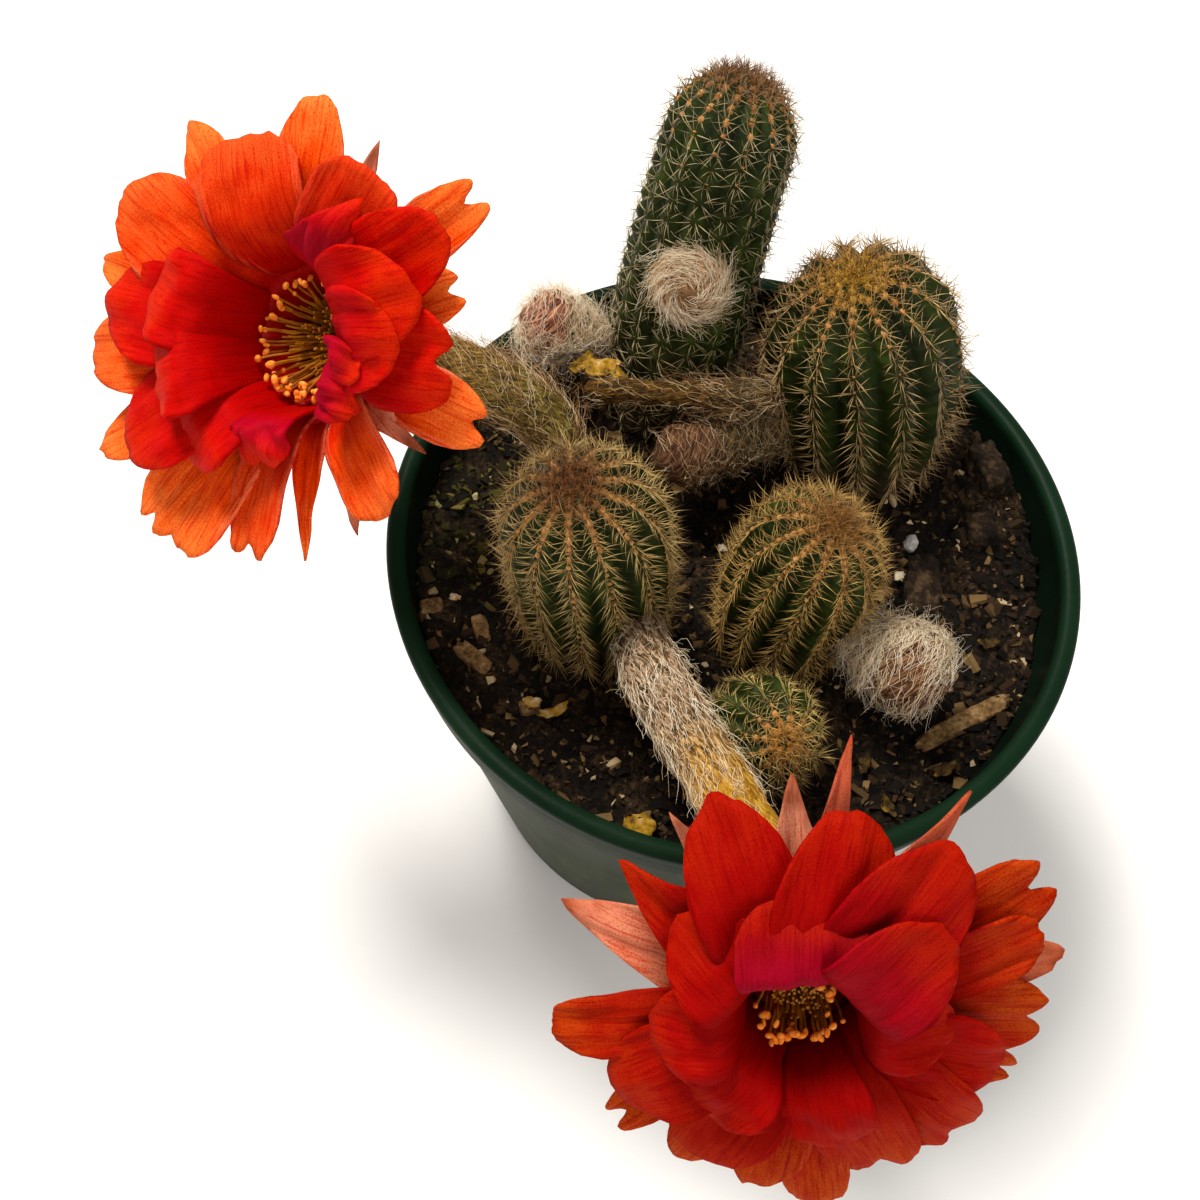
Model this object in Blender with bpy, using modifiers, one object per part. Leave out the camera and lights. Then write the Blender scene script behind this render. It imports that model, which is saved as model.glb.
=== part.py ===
"""Potted peanut cactus in flower: a small nursery pot of soil with five ribbed, spiny stems,
two wide open red flowers, four woolly buds and one spent flower.

Lengths are written in millimetres and turned into Blender's metres when a mesh is made.
The origin is the middle of the pot's underside, +Z is up and the front flower hangs over
the rim towards -Y."""

import math
import random

import bmesh
import bpy
from mathutils import Matrix, Vector

MM = 0.001
GAP = 0.3                    # clearance between pieces that touch
SEED = 11

# Pot, a round 4 inch nursery pot
POT_HEIGHT = 75.0
POT_RIM_RADIUS = 54.0
POT_BAND_HEIGHT = 9.0        # the stiff band below the lip
POT_BAND_RADIUS = 53.0
POT_NECK_RADIUS = 51.4       # the wall just below the band
POT_BASE_RADIUS = 37.6
POT_WALL = 1.6
POT_LIP_WIDTH = 3.0
POT_SIDES = 40
DRAIN_HOLES = 6
DRAIN_RADIUS = 3.5
DRAIN_CIRCLE = 29.0

# Soil, filled to a little below the rim
SOIL_LEVEL = 66.0
SOIL_RINGS = (43.0, 35.0, 27.0, 16.0)
SOIL_SIDES = 36

# Each stem: where it leaves the soil, a middle and a top point of its centre line, its
# radius low down, what is left of it at the top and at the foot, and its ribs
STEMS = {
    "stem_tall": dict(foot=(-18.5, 30), middle=(-18.5, 34, 96), apex=(-15.5, 47.5, 121.5),
                      radius=11.6, top=0.86, foot_share=0.86, ribs=15, rib_depth=0.9,
                      needle_rows=4, needle_length=2.8),
    "stem_fat": dict(foot=(15.5, 28.5), middle=(13.5, 29, 88), apex=(6.5, 28, 107),
                     radius=15.0, top=0.98, foot_share=0.72, ribs=13, rib_depth=2.2,
                     needle_rows=4, needle_length=3.2),
    "stem_left": dict(foot=(-18.0, -15.5), middle=(-19.5, -15.5, 86), apex=(-23.3, -17, 103),
                      radius=12.3, top=0.95, foot_share=0.78, ribs=13, rib_depth=1.9,
                      needle_rows=5, needle_length=2.9),
    "stem_right": dict(foot=(9.5, -9.5), middle=(10, -9, 84), apex=(12.8, -7.5, 96),
                       radius=11.2, top=0.92, foot_share=0.78, ribs=12, rib_depth=1.7,
                       needle_rows=4, needle_length=2.8),
    "stem_pup": dict(foot=(9.0, -27.5), middle=(10.5, -30, 72.5), apex=(14.0, -35, 81),
                     radius=9.2, top=0.9, foot_share=0.72, ribs=11, rib_depth=1.2,
                     needle_rows=3, needle_length=2.6),
}
STEM_ROWS = 9
STEM_BURIED = 6.0            # how deep a foot stands in the soil
HOLE_SIDES = 16
NEEDLE_RADIUS = 0.33

# Flowers: middle of the throat, the way the flower faces, and its sideways direction
FLOWERS = {
    "flower_left": dict(throat=(-62.7, -9.3, 109.6), faces=(-0.341, -0.674, 0.655),
                        side=(0.908, -0.057, 0.414)),
    "flower_front": dict(throat=(21.7, -70.7, 89.3), faces=(0.039, -0.729, 0.684),
                         side=(0.973, 0.183, 0.139)),
}
FUNNEL_DEPTH = 15.0          # from the throat back to the end of the floral tube
FUNNEL_FLOOR = 4.4           # the solid end that the floral tube enters
FUNNEL_BACK_RADIUS = 5.2
FUNNEL_FLOOR_RADIUS = 3.7
THROAT_RADIUS = 8.6
COLLAR_RADIUS = 12.2         # the thick ring where the stacked petal roots run together
COLLAR_TOP = -1.0
PETAL_THICKNESS = 0.8
PETAL_LEAN = 0.2             # each petal tilts, so that its edge lies over the next one's

# Petals, counted round the flower from its sideways direction: azimuth in degrees, reach
# from the flower's axis, width, height of the petal's bend and of its tip above the throat,
# and the form of its end
PETALS = {
    "flower_left": [
        (82, 32, 10, 3, 3, "round"), (122, 35, 8, 2, 2, "round"), (101, 27, 15, 7, 6, "blunt"),
        (142, 33, 15, 6, 6, "round"), (162, 36, 8, 3, 4, "round"), (170, 30, 14, 9, 8, "round"),
        (183, 36, 13, 5, 6, "round"), (159, 20, 13, 12, 10, "blunt"), (204, 39, 9, 2, 5, "round"),
        (210, 30, 14, 9, 9, "round"), (194, 19, 14, 13, 11, "notch"), (225, 38, 11, 3, 6, "notch"),
        (236, 35, 12, 4, 6, "blunt"), (218, 34, 5, 1, 2, "point"), (226, 22, 14, 11, 9, "round"),
        (257, 31, 10, 6, 6, "notch"), (271, 30, 6, 2, 3, "point"), (289, 28, 5, 1, 2, "point"),
        (307, 28, 11, 5, 7, "blunt"), (268, 17, 11, 12, 9, "notch"), (340, 33, 10, 3, 5, "notch"),
        (322, 24, 6, 1, 2, "point"), (354, 29, 14, 9, 8, "notch"), (13, 29, 8, 4, 6, "notch"),
        (32, 35, 8, 3, 3, "notch"), (26, 31, 12, 9, 9, "round"), (62, 29, 5, 1, 1, "point"),
        (50, 27, 13, 8, 8, "blunt"), (46, 24, 11, 12, 10, "point"), (14, 26, 14, 14, 12, "round"),
        (0, 23, 13, 13, 12, "round"), (338, 18, 11, 13, 11, "notch"),
    ],
    "flower_front": [
        (112, 30, 13, 12, 6, "round"), (79, 28, 14, 13, 7, "round"), (54, 29, 15, 12, 8, "round"),
        (94, 28, 8, 1, 0, "point"), (82, 34, 5, 2, 1, "point"), (55, 33, 6, 2, 1, "point"),
        (126, 28, 6, 1, 0, "point"), (140, 29, 11, 8, 6, "point"), (160, 32, 11, 3, 2, "point"),
        (190, 31, 8, 6, 4, "blunt"), (209, 26, 13, 8, 6, "round"), (222, 32, 7, 1, 0, "notch"),
        (240, 30, 8, 2, 1, "round"), (239, 25, 14, 8, 5, "round"), (261, 30, 11, 2, 0, "round"),
        (276, 32, 9, 2, 1, "blunt"), (296, 27, 13, 6, 3, "notch"), (320, 27, 14, 7, 4, "notch"),
        (337, 30, 7, 0, -1, "notch"), (358, 30, 12, 4, 2, "notch"), (13, 32, 8, 2, 1, "round"),
        (32, 34, 11, 5, 3, "notch"), (22, 30, 9, 7, 5, "blunt"), (347, 25, 13, 9, 6, "round"),
        (92, 18, 15, 14, 11, "blunt"), (42, 22, 14, 14, 11, "round"), (138, 20, 13, 13, 9, "round"),
        (286, 18, 12, 10, 8, "round"), (228, 18, 12, 11, 8, "round"), (182, 18, 12, 12, 10, "round"),
        (5, 18, 12, 12, 10, "round"),
    ],
}
# The form of each end: the root's share of the width, where the petal is widest, how far the
# corners fall back from the tip, and how deep the middle is notched
ENDS = {"point": (0.3, 0.5, 0.45, 0), "round": (0.42, 0.66, 0.18, 0),
        "blunt": (0.46, 0.7, 0.1, 0), "notch": (0.42, 0.68, 0.12, 0.08)}
PETAL_ROWS = 4
STAMENS = 16

# Floral tubes, buds and the spent flower: the route from the stem outwards and the radius
# at each of its points
ROUTES = {
    "flower_left_tube": [((-26.0, -6.0, 90), 3.6), ((-31, -2.0, 95), 4.4), ((-37.5, -1.0, 98), 4.8),
                         ((-45.0, -0.2, 99.0), 4.8), ((-52.5, 1.0, 99.2), 4.4),
                         ((-58.2, 0.2, 100.8), 3.4)],
    "flower_front_tube": [((-11.0, -20.5, 78), 3.8), ((-7.5, -29.0, 82), 4.9),
                          ((-1.5, -37.0, 84), 4.7), ((6.5, -45.5, 84.8), 4.8),
                          ((13.5, -53.0, 83.0), 5.2), ((18.5, -58.0, 80.8), 4.4),
                          ((21.2, -61.1, 80.3), 3.2)],
    "bud_tall": [((-17.5, 34.5, 95), 3.0), ((-17.0, 31.0, 97), 4.6), ((-16.7, 27.5, 98.5), 5.9),
                 ((-16.5, 24.5, 99.5), 5.4), ((-16.4, 22.3, 100.5), 2.6)],
    "bud_back_left": [((-28.5, 29.5, 77), 2.6), ((-32.5, 28.5, 79), 3.8), ((-36.5, 27.6, 80), 5.9),
                      ((-40.0, 26.8, 81), 5.6), ((-43.0, 26.2, 82), 2.8)],
    "bud_middle": [((3.0, 21.5, 78), 3.6), ((-2.0, 17.0, 78.5), 4.4), ((-8.5, 12.0, 79), 4.4),
                   ((-12.5, 9.0, 79), 4.9), ((-15.5, 6.8, 79), 2.4)],
    "bud_right": [((19.5, -12.5, 76.5), 3.2), ((23.0, -13.8, 76.8), 4.4), ((27.0, -15.2, 77), 6.4),
                  ((31.5, -16.8, 77.2), 6.6), ((35.5, -18.2, 77.4), 3.0)],
    "spent_flower": [((2.5, 20.5, 87.5), 3.0), ((-4.5, 17.5, 87), 3.4), ((-13, 16.5, 85.5), 2.9),
                     ((-21, 16.5, 83), 2.6), ((-27, 17.0, 80), 3.2), ((-29.5, 17.0, 78), 2.2)],
}
ROUTE_STEPS = 2
FLAT_TO_CORNER = 1 / math.cos(math.pi / 8)   # a tube has eight sides, and a socket clears them

# Pieces of bark, wood and perlite bedded in the soil: middle, size, turn about +Z in degrees
LITTER = {
    "bark_lump": ((36.5, 27.0), (5.5, 8.5, 6.5), 36),
    "bark_chunk": ((37.5, 17.0), (5.0, 6.0, 4.0), 20),
    "bark_slab": ((30.5, 5.0), (5.5, 11.5, 2.4), 8),
    "wood_sliver": ((40.5, -16.5), (17.0, 3.0, 1.8), 44),
    "wood_chip_left": ((-34.5, -22.5), (5.0, 2.4, 1.6), -60),
    "wood_chip_front": ((-34.0, -28.0), (6.5, 2.6, 1.6), -25),
    "wood_chip_far": ((-43.0, -21.0), (3.6, 2.4, 1.4), 30),
    "wood_block": ((-23.5, -33.0), (3.4, 2.6, 2.0), 30),
    "perlite": ((27.4, 12.5), (2.4, 3.0, 2.6), 0),
}


def wipe_scene():
    for old in list(bpy.data.objects):
        bpy.data.objects.remove(old, do_unlink=True)


def new_collection(name):
    collection = bpy.data.collections.new(name)
    bpy.context.scene.collection.children.link(collection)
    return collection


def principled(name, colour, roughness):
    material = bpy.data.materials.new(name)
    material.use_nodes = True
    shader = material.node_tree.nodes["Principled BSDF"]
    shader.inputs["Base Color"].default_value = (*colour, 1)
    shader.inputs["Roughness"].default_value = roughness
    shader.inputs["Metallic"].default_value = 0
    return material


def add_object(name, mesh, collection, material=None):
    thing = bpy.data.objects.new(name, mesh)
    collection.objects.link(thing)
    if material:
        mesh.materials.clear()
        mesh.materials.append(material)
    return thing


def mesh_of(bm, name):
    """Turn a bmesh in millimetres into a mesh in metres."""
    bmesh.ops.scale(bm, verts=bm.verts, vec=(MM, MM, MM))
    mesh = bpy.data.meshes.new(name)
    bm.to_mesh(mesh)
    bm.free()
    return mesh


def bake(thing, weld=False):
    """Replace an object's mesh or curve by the mesh that its modifiers make."""
    graph = bpy.context.evaluated_depsgraph_get()
    mesh = bpy.data.meshes.new_from_object(thing.evaluated_get(graph))
    if weld:
        bm = bmesh.new()
        bm.from_mesh(mesh)
        bmesh.ops.remove_doubles(bm, verts=bm.verts, dist=0.00001)
        bm.to_mesh(mesh)
        bm.free()
    name, home = thing.name, thing.users_collection[0]
    bpy.data.objects.remove(thing)
    baked = add_object(name, mesh, home)
    baked.name = name
    return baked


def drop_scraps(mesh):
    """Keep the largest body of a mesh and delete slivers that a Boolean cut off it."""
    bm = bmesh.new()
    bm.from_mesh(mesh)
    bodies, waiting = [], set(bm.verts)
    while waiting:
        body, edge_of_body = set(), [waiting.pop()]
        while edge_of_body:
            vertex = edge_of_body.pop()
            body.add(vertex)
            near = {edge.other_vert(vertex) for edge in vertex.link_edges} & waiting
            waiting -= near
            edge_of_body.extend(near)
        bodies.append(body)
    bodies.sort(key=len)
    for body in bodies[:-1]:
        bmesh.ops.delete(bm, geom=list(body), context="VERTS")
    bm.to_mesh(mesh)
    bm.free()


def combine(thing, others, operation, solver="EXACT"):
    """Apply one Boolean of a whole group of objects to one object, and drop the group."""
    group = new_collection(thing.name + "_group")
    for other in others:
        for home in list(other.users_collection):
            home.objects.unlink(other)
        group.objects.link(other)
    boolean = thing.modifiers.new(operation.title(), "BOOLEAN")
    boolean.operation = operation
    boolean.operand_type = "COLLECTION"
    boolean.collection = group
    boolean.solver = solver
    material = thing.data.materials[0] if thing.data.materials else None
    joined = bake(thing)
    drop_scraps(joined.data)
    for other in list(group.objects):
        bpy.data.objects.remove(other)
    bpy.data.collections.remove(group)
    if material:
        joined.data.materials.clear()
        joined.data.materials.append(material)
    return joined


def turned(name, profile, sides, collection, material=None):
    """A turned solid: the profile runs down its outer side at +X, from axis to axis."""
    mesh = bpy.data.meshes.new(name)
    points = [(radius * MM, 0, height * MM) for radius, height in profile]
    mesh.from_pydata(points, [(i, i + 1) for i in range(len(points) - 1)], [])
    thing = add_object(name, mesh, collection, material)
    screw = thing.modifiers.new("Screw", "SCREW")
    screw.axis = "Z"
    screw.steps = screw.render_steps = sides
    screw.use_merge_vertices = True
    screw.merge_threshold = 0.0001
    screw.use_smooth_shade = False
    return thing


def inner_wall(height):
    """Radius of the inside of the pot's wall at a height."""
    neck_height = POT_HEIGHT - POT_BAND_HEIGHT
    slope = (POT_NECK_RADIUS - POT_BASE_RADIUS) / neck_height
    return POT_BASE_RADIUS + slope * height - POT_WALL


def make_pot(parts, cutters, plastic):
    neck_height = POT_HEIGHT - POT_BAND_HEIGHT
    inner_top = POT_RIM_RADIUS - POT_LIP_WIDTH
    profile = [
        (0, POT_WALL), (inner_wall(POT_WALL), POT_WALL),
        (inner_wall(neck_height), neck_height), (inner_top, POT_HEIGHT - 1.2),
        (inner_top + 0.8, POT_HEIGHT), (POT_RIM_RADIUS - 0.8, POT_HEIGHT),
        (POT_RIM_RADIUS, POT_HEIGHT - 1.0), (POT_RIM_RADIUS - 0.1, POT_HEIGHT - 2.4),
        (POT_BAND_RADIUS, POT_HEIGHT - 3.0), (POT_BAND_RADIUS - 0.4, neck_height),
        (POT_NECK_RADIUS, neck_height - 0.8), (POT_BASE_RADIUS + 0.6, 1.5),
        (POT_BASE_RADIUS, 0), (0, 0),
    ]
    pot = bake(turned("pot", profile, POT_SIDES, parts, plastic))
    holes = []
    for index in range(DRAIN_HOLES):
        turn = 2 * math.pi * index / DRAIN_HOLES
        bm = bmesh.new()
        middle = Matrix.Translation((DRAIN_CIRCLE * math.cos(turn), DRAIN_CIRCLE * math.sin(turn), 0))
        bmesh.ops.create_cone(bm, cap_ends=True, segments=8, radius1=DRAIN_RADIUS,
                              radius2=DRAIN_RADIUS, depth=4 * POT_WALL, matrix=middle)
        holes.append(add_object("drain", mesh_of(bm, "drain"), cutters))
    return combine(pot, holes, "DIFFERENCE")


def soil_height(x, y):
    """Height of the soil: nearly level, crumbly, and heaped towards the back right."""
    heap = 4.5 * math.exp(-((x - 36) ** 2 + (y - 28) ** 2) / 260)
    crumbs = 0.5 * math.sin(0.55 * x + 1.3) * math.cos(0.48 * y) + 0.35 * math.sin(0.9 * y + 0.7 * x)
    return SOIL_LEVEL + heap + crumbs


def make_soil(parts, earth):
    """Turned block of soil inside the pot, whose top then takes the relief."""
    bottom = POT_WALL + GAP
    top_radius = inner_wall(SOIL_LEVEL) - GAP
    rings = [top_radius] + [ring for ring in SOIL_RINGS if ring < top_radius - 2]
    profile = [(0, SOIL_LEVEL)] + [(ring, SOIL_LEVEL) for ring in reversed(rings)]
    profile += [(inner_wall(bottom) - GAP, bottom), (0, bottom)]
    soil = bake(turned("soil", profile, SOIL_SIDES, parts, earth))
    for vertex in soil.data.vertices:
        x, y, z = vertex.co / MM
        if z > SOIL_LEVEL - 1 and math.hypot(x, y) < top_radius - 1:
            vertex.co.z = soil_height(x, y) * MM
    bm = bmesh.new()
    bm.from_mesh(soil.data)
    bmesh.ops.triangulate(bm, faces=bm.faces)
    bm.to_mesh(soil.data)
    bm.free()
    return soil


def bezier(points, t):
    """Point on the quadratic curve that runs from the first to the last of three points."""
    a, b, c = points
    return a * (1 - t) ** 2 + b * 2 * t * (1 - t) + c * t ** 2


class Stem:
    """A ribbed stem: gives the points of its surface, by height share and azimuth."""

    def __init__(self, foot, middle, apex, radius, top, foot_share, ribs, rib_depth,
                 needle_rows, needle_length):
        self.line = (Vector((*foot, SOIL_LEVEL)), Vector(middle), Vector(apex))
        self.radius, self.top, self.foot_share = radius, top, foot_share
        self.ribs, self.rib_depth = ribs, rib_depth
        self.needle_rows, self.needle_length = needle_rows, needle_length
        steps = [bezier(self.line, i / 20) for i in range(21)]
        self.length = sum((b - a).length for a, b in zip(steps, steps[1:]))
        self.dome = self.radius * top * 1.05

    def frame(self, share):
        """Middle, side and front directions of the centre line at a share of its length."""
        share = min(max(share, 0.0), 1.0)
        ahead = bezier(self.line, min(share + 0.01, 1)) - bezier(self.line, max(share - 0.01, 0))
        along = ahead.normalized()
        side = Vector((0, 1, 0)).cross(along).normalized()
        return bezier(self.line, share), side, along.cross(side)

    def profile(self, level):
        """Share of the length and plain radius at a level from 0, the soil, to 1, the apex."""
        straight = self.length - self.dome
        arc = math.pi / 2 * self.dome
        split = straight / (straight + arc)
        low = 1 - (1 - self.foot_share) * max(0, 1 - level / 0.45) ** 2
        if level < split:
            share = level / split * straight / self.length
            narrowing = 1 - (1 - self.top) * level / split
            return share, self.radius * low * narrowing
        angle = (level - split) / (1 - split) * math.pi / 2
        share = (straight + self.dome * math.sin(angle)) / self.length
        return share, self.radius * self.top * low * math.cos(angle)

    def point(self, level, turn, grow=0.0, ribbed=True):
        share, radius = self.profile(level)
        middle, side, front = self.frame(share)
        if ribbed:
            furrow = 1 - abs(math.cos(self.ribs * turn / 2)) ** 0.9
            radius -= self.rib_depth * furrow * min(1, radius / (0.5 * self.radius))
        radius += grow
        along = side.cross(front)
        return (middle + radius * (math.cos(turn) * side + math.sin(turn) * front)
                + along * grow * max(0, level - 0.6))

    def blobs(self):
        """Balls that fill the stem, to keep needles clear of it."""
        for i in range(15):
            share, radius = self.profile(i / 14)
            yield self.frame(share)[0], radius


STEM = {name: Stem(**sizes) for name, sizes in STEMS.items()}


def stem_body(name, collection, grow=0.0, ribbed=True, rows=STEM_ROWS):
    """Ribbed body with a plain round foot, made from a sphere drawn out along the stem."""
    stem = STEM[name]
    around = 2 * stem.ribs if ribbed else HOLE_SIDES
    bm = bmesh.new()
    rib_at_side = Matrix.Rotation(-math.pi / 2, 4, "Z")
    bmesh.ops.create_uvsphere(bm, u_segments=around, v_segments=rows + 3, radius=1,
                              matrix=rib_at_side)
    foot_radius = stem.radius * stem.foot_share - stem.rib_depth + grow
    foot = stem.line[0]
    for vertex in bm.verts:
        turn = math.atan2(vertex.co.y, vertex.co.x)
        row = round((1 - math.acos(max(-1, min(1, vertex.co.z))) / math.pi) * (rows + 3))
        if row > 1:
            level = 0.02 + 0.98 * (row - 2) / (rows + 1)
            vertex.co = stem.point(level, turn, grow, ribbed)
        else:
            reach = foot_radius if row == 1 else 0
            bottom = SOIL_LEVEL - STEM_BURIED - grow
            vertex.co = (foot.x + reach * math.cos(turn), foot.y + reach * math.sin(turn), bottom)
    return add_object(name, mesh_of(bm, name), collection)


def smooth_route(name):
    """Points and radii along a route, on a smooth curve through its own points."""
    route = [(Vector(place), radius) for place, radius in ROUTES[name]]
    ends = [(2 * route[0][0] - route[1][0], route[0][1])] + route
    ends.append((2 * route[-1][0] - route[-2][0], route[-1][1]))
    result = []
    for i in range(1, len(ends) - 2):
        for step in range(ROUTE_STEPS):
            t = step / ROUTE_STEPS
            weights = (-t ** 3 + 2 * t ** 2 - t, 3 * t ** 3 - 5 * t ** 2 + 2,
                       -3 * t ** 3 + 4 * t ** 2 + t, t ** 3 - t ** 2)
            place = sum((w * ends[i - 1 + k][0] for k, w in enumerate(weights)), Vector()) / 2
            radius = sum(w * ends[i - 1 + k][1] for k, w in enumerate(weights)) / 2
            result.append((place, radius))
    return result + [route[-1]]


def tube(name, collection, grow=0.0):
    """A stalk, bud or spent flower: a bevelled curve whose radius follows the route."""
    route = smooth_route(name)
    for end, beside in ((0, 1), (-1, -2)):
        outward = (route[end][0] - route[beside][0]).normalized()
        route[end] = (route[end][0] + outward * grow, route[end][1])
    curve = bpy.data.curves.new(name, "CURVE")
    curve.dimensions = "3D"
    curve.bevel_depth = MM
    curve.bevel_resolution = 2
    curve.use_fill_caps = True
    spline = curve.splines.new("POLY")
    spline.points.add(len(route) - 1)
    for point, (place, radius) in zip(spline.points, route):
        point.co = (*(place * MM), 1)
        point.radius = radius * (FLAT_TO_CORNER if grow else 1) + grow
    thing = bpy.data.objects.new(name, curve)
    collection.objects.link(thing)
    return bake(thing, weld=True)


def blobs_of(name):
    """Balls that fill a stem or a route."""
    if name in STEM:
        return list(STEM[name].blobs())
    return smooth_route(name)


def crowded(place, owner, margin):
    """True where a place lies inside or close beside any other piece than its owner."""
    for name in list(STEM) + list(ROUTES):
        if name == owner:
            continue
        for middle, radius in blobs_of(name):
            if (place - middle).length < radius + margin:
                return True
    return place.z < soil_height(place.x, place.y) + 1.0 and math.hypot(place.x, place.y) < 50


def needle(start, tip, radius, collection):
    """Three-sided spine from a sunk root to its tip."""
    way = tip - start
    turn = way.to_track_quat("Z", "Y").to_matrix().to_4x4()
    bm = bmesh.new()
    bmesh.ops.create_cone(bm, cap_ends=True, segments=3, radius1=radius, radius2=0,
                          depth=way.length, matrix=Matrix.Translation((start + tip) / 2) @ turn)
    return add_object("needle", mesh_of(bm, "needle"), collection)


def stem_needles(name, collection):
    """Spines on the rib crests, one row after another, leaning to the left and right."""
    stem = STEM[name]
    needles = []
    for row in range(stem.needle_rows):
        for rib in range(stem.ribs):
            stagger = 0.5 * (rib % 2)
            level = 0.16 + 0.78 * (row + stagger) / stem.needle_rows
            if level > 0.86 and rib % 2:
                continue
            turn = 2 * math.pi * rib / stem.ribs
            root = stem.point(level, turn)
            beyond = stem.point(level, turn, grow=1.0)
            outward = (beyond - root).normalized()
            upward = (stem.point(min(level + 0.04, 1), turn) - root).normalized()
            sideways = outward.cross(upward) * (0.7 if (row + rib) % 2 else -0.7)
            way = (outward + sideways + 0.25 * upward).normalized()
            tip = root + way * stem.needle_length
            if crowded(tip, name, 1.0) or crowded(root, name, 1.5):
                continue
            needles.append(needle(root - outward * 0.9, tip, NEEDLE_RADIUS, collection))
    return needles


def make_stem(name, parts, cutters, skin, attached):
    """Body with its spines, and a socket for every stalk that grows from it."""
    body = stem_body(name, parts)
    body.data.materials.append(skin)
    stem = combine(body, stem_needles(name, cutters), "UNION")
    if attached:
        sockets = [tube(other, cutters, grow=GAP) for other in attached]
        stem = combine(stem, sockets, "DIFFERENCE")
    return stem


def flower_frame(name):
    """Matrix from a flower's own frame, throat at the origin and facing +Z, to the plant."""
    flower = FLOWERS[name]
    faces = Vector(flower["faces"]).normalized()
    side = Vector(flower["side"])
    side = (side - faces * side.dot(faces)).normalized()
    turn = Matrix((side, faces.cross(side), faces)).transposed().to_4x4()
    return Matrix.Translation(flower["throat"]) @ turn


def petal_point(petal, along, across):
    """Point of a petal's middle surface; along runs 0 to 1, across runs -1 to 1."""
    azimuth, reach, width, bend, rise, end = petal
    root_share, widest, fall, notch = ENDS[end]
    along *= 1 - fall * abs(across) - notch * (1 - abs(across))
    root = THROAT_RADIUS + 1.1 + 0.1 * (14 - bend)
    steep = min(1, max(0, (bend - 10) / 4))      # the innermost petals stand up before they bend
    line = [(root, COLLAR_TOP - 3.0), (root + 1.2 - 2.2 * steep, bend * (1 + 0.35 * steep)),
            ((0.62 - 0.17 * steep) * reach, bend + 0.5 + 0.8 * steep), (reach, rise)]
    weights = ((1 - along) ** 3, 3 * along * (1 - along) ** 2, 3 * along ** 2 * (1 - along),
               along ** 3)
    out = sum(w * p[0] for w, p in zip(weights, line))
    height = sum(w * p[1] for w, p in zip(weights, line))
    swell = math.sin(min(along / widest, 1) * math.pi / 2) ** 1.2
    half = width / 2 * (root_share + (1 - root_share) * swell)
    cup = half * (0.1 * across ** 2 * (1 - 0.8 * along) + PETAL_LEAN * across)
    turn = math.radians(azimuth)
    x, y = out, half * across
    return Vector((x * math.cos(turn) - y * math.sin(turn), x * math.sin(turn) + y * math.cos(turn),
                   height + cup))


def petal(flower, index, placed, collection):
    """One petal: an open waved sheet, split into triangles and then given its thickness."""
    bm = bmesh.new()
    bmesh.ops.create_grid(bm, x_segments=PETAL_ROWS, y_segments=2, size=1)
    for vertex in bm.verts:
        along = (vertex.co.x + 1) / 2
        vertex.co = placed @ petal_point(PETALS[flower][index], along, vertex.co.y)
    bmesh.ops.triangulate(bm, faces=bm.faces)
    sheet = add_object("petal", mesh_of(bm, "petal"), collection)
    solidify = sheet.modifiers.new("Solidify", "SOLIDIFY")
    solidify.thickness = PETAL_THICKNESS * MM
    solidify.offset = 0
    return bake(sheet)


def make_bloom(flower, parts, cutters, petal_skin):
    """The funnel at the end of the floral tube, with all the petals rooted in it."""
    placed = flower_frame(flower)
    back = -FUNNEL_DEPTH
    floor = back + FUNNEL_FLOOR
    profile = [(0, floor), (FUNNEL_FLOOR_RADIUS, floor), (THROAT_RADIUS, COLLAR_TOP - 1.5),
               (THROAT_RADIUS + 0.6, COLLAR_TOP), (COLLAR_RADIUS - 0.6, COLLAR_TOP),
               (COLLAR_RADIUS, COLLAR_TOP - 1.0), (COLLAR_RADIUS - 1.6, COLLAR_TOP - 5.0),
               (FUNNEL_BACK_RADIUS, back), (0, back)]
    funnel = bake(turned(flower + "_petals", profile, 16, parts, petal_skin))
    frame = placed.copy()
    frame.translation *= MM
    funnel.data.transform(frame)
    petals = [petal(flower, index, placed, cutters) for index in range(len(PETALS[flower]))]
    bloom = combine(funnel, petals, "UNION", "MANIFOLD")
    return combine(bloom, [tube(flower + "_tube", cutters, grow=GAP)], "DIFFERENCE", "MANIFOLD")


def make_stamens(flower, parts, cutters, yellow):
    """A slim core in the funnel that the filaments and the style grow from."""
    placed = flower_frame(flower)
    draw = random.Random(SEED)
    floor = -FUNNEL_DEPTH + FUNNEL_FLOOR + GAP
    profile = [(0, -4.5), (1.6, -4.8), (2.8, floor + 1.0), (2.7, floor), (0, floor)]
    core = bake(turned(flower + "_stamens", profile, 10, parts, yellow))
    frame = placed.copy()
    frame.translation *= MM
    core.data.transform(frame)
    pieces = []
    for index in range(STAMENS):
        turn = 2 * math.pi * index / STAMENS
        reach = 6.2 - 1.8 * (index % 2) + draw.uniform(-0.2, 0.2)
        height = 1.2 + draw.uniform(-0.6, 0.6)
        start = placed @ Vector((1.2 * math.cos(turn), 1.2 * math.sin(turn), floor + 2.5))
        tip = placed @ Vector((reach * math.cos(turn), reach * math.sin(turn), height))
        pieces.append(needle(start, tip, 0.45, cutters))
        bm = bmesh.new()
        bmesh.ops.create_uvsphere(bm, u_segments=4, v_segments=2, radius=0.9,
                                  matrix=Matrix.Translation(tip - (tip - start).normalized() * 0.6))
        pieces.append(add_object("anther", mesh_of(bm, "anther"), cutters))
    style_top = placed @ Vector((0, 0, 0.5))
    pieces.append(needle(placed @ Vector((0, 0, floor + 2)), style_top, 0.9, cutters))
    return combine(core, pieces, "UNION", "MANIFOLD")


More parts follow.
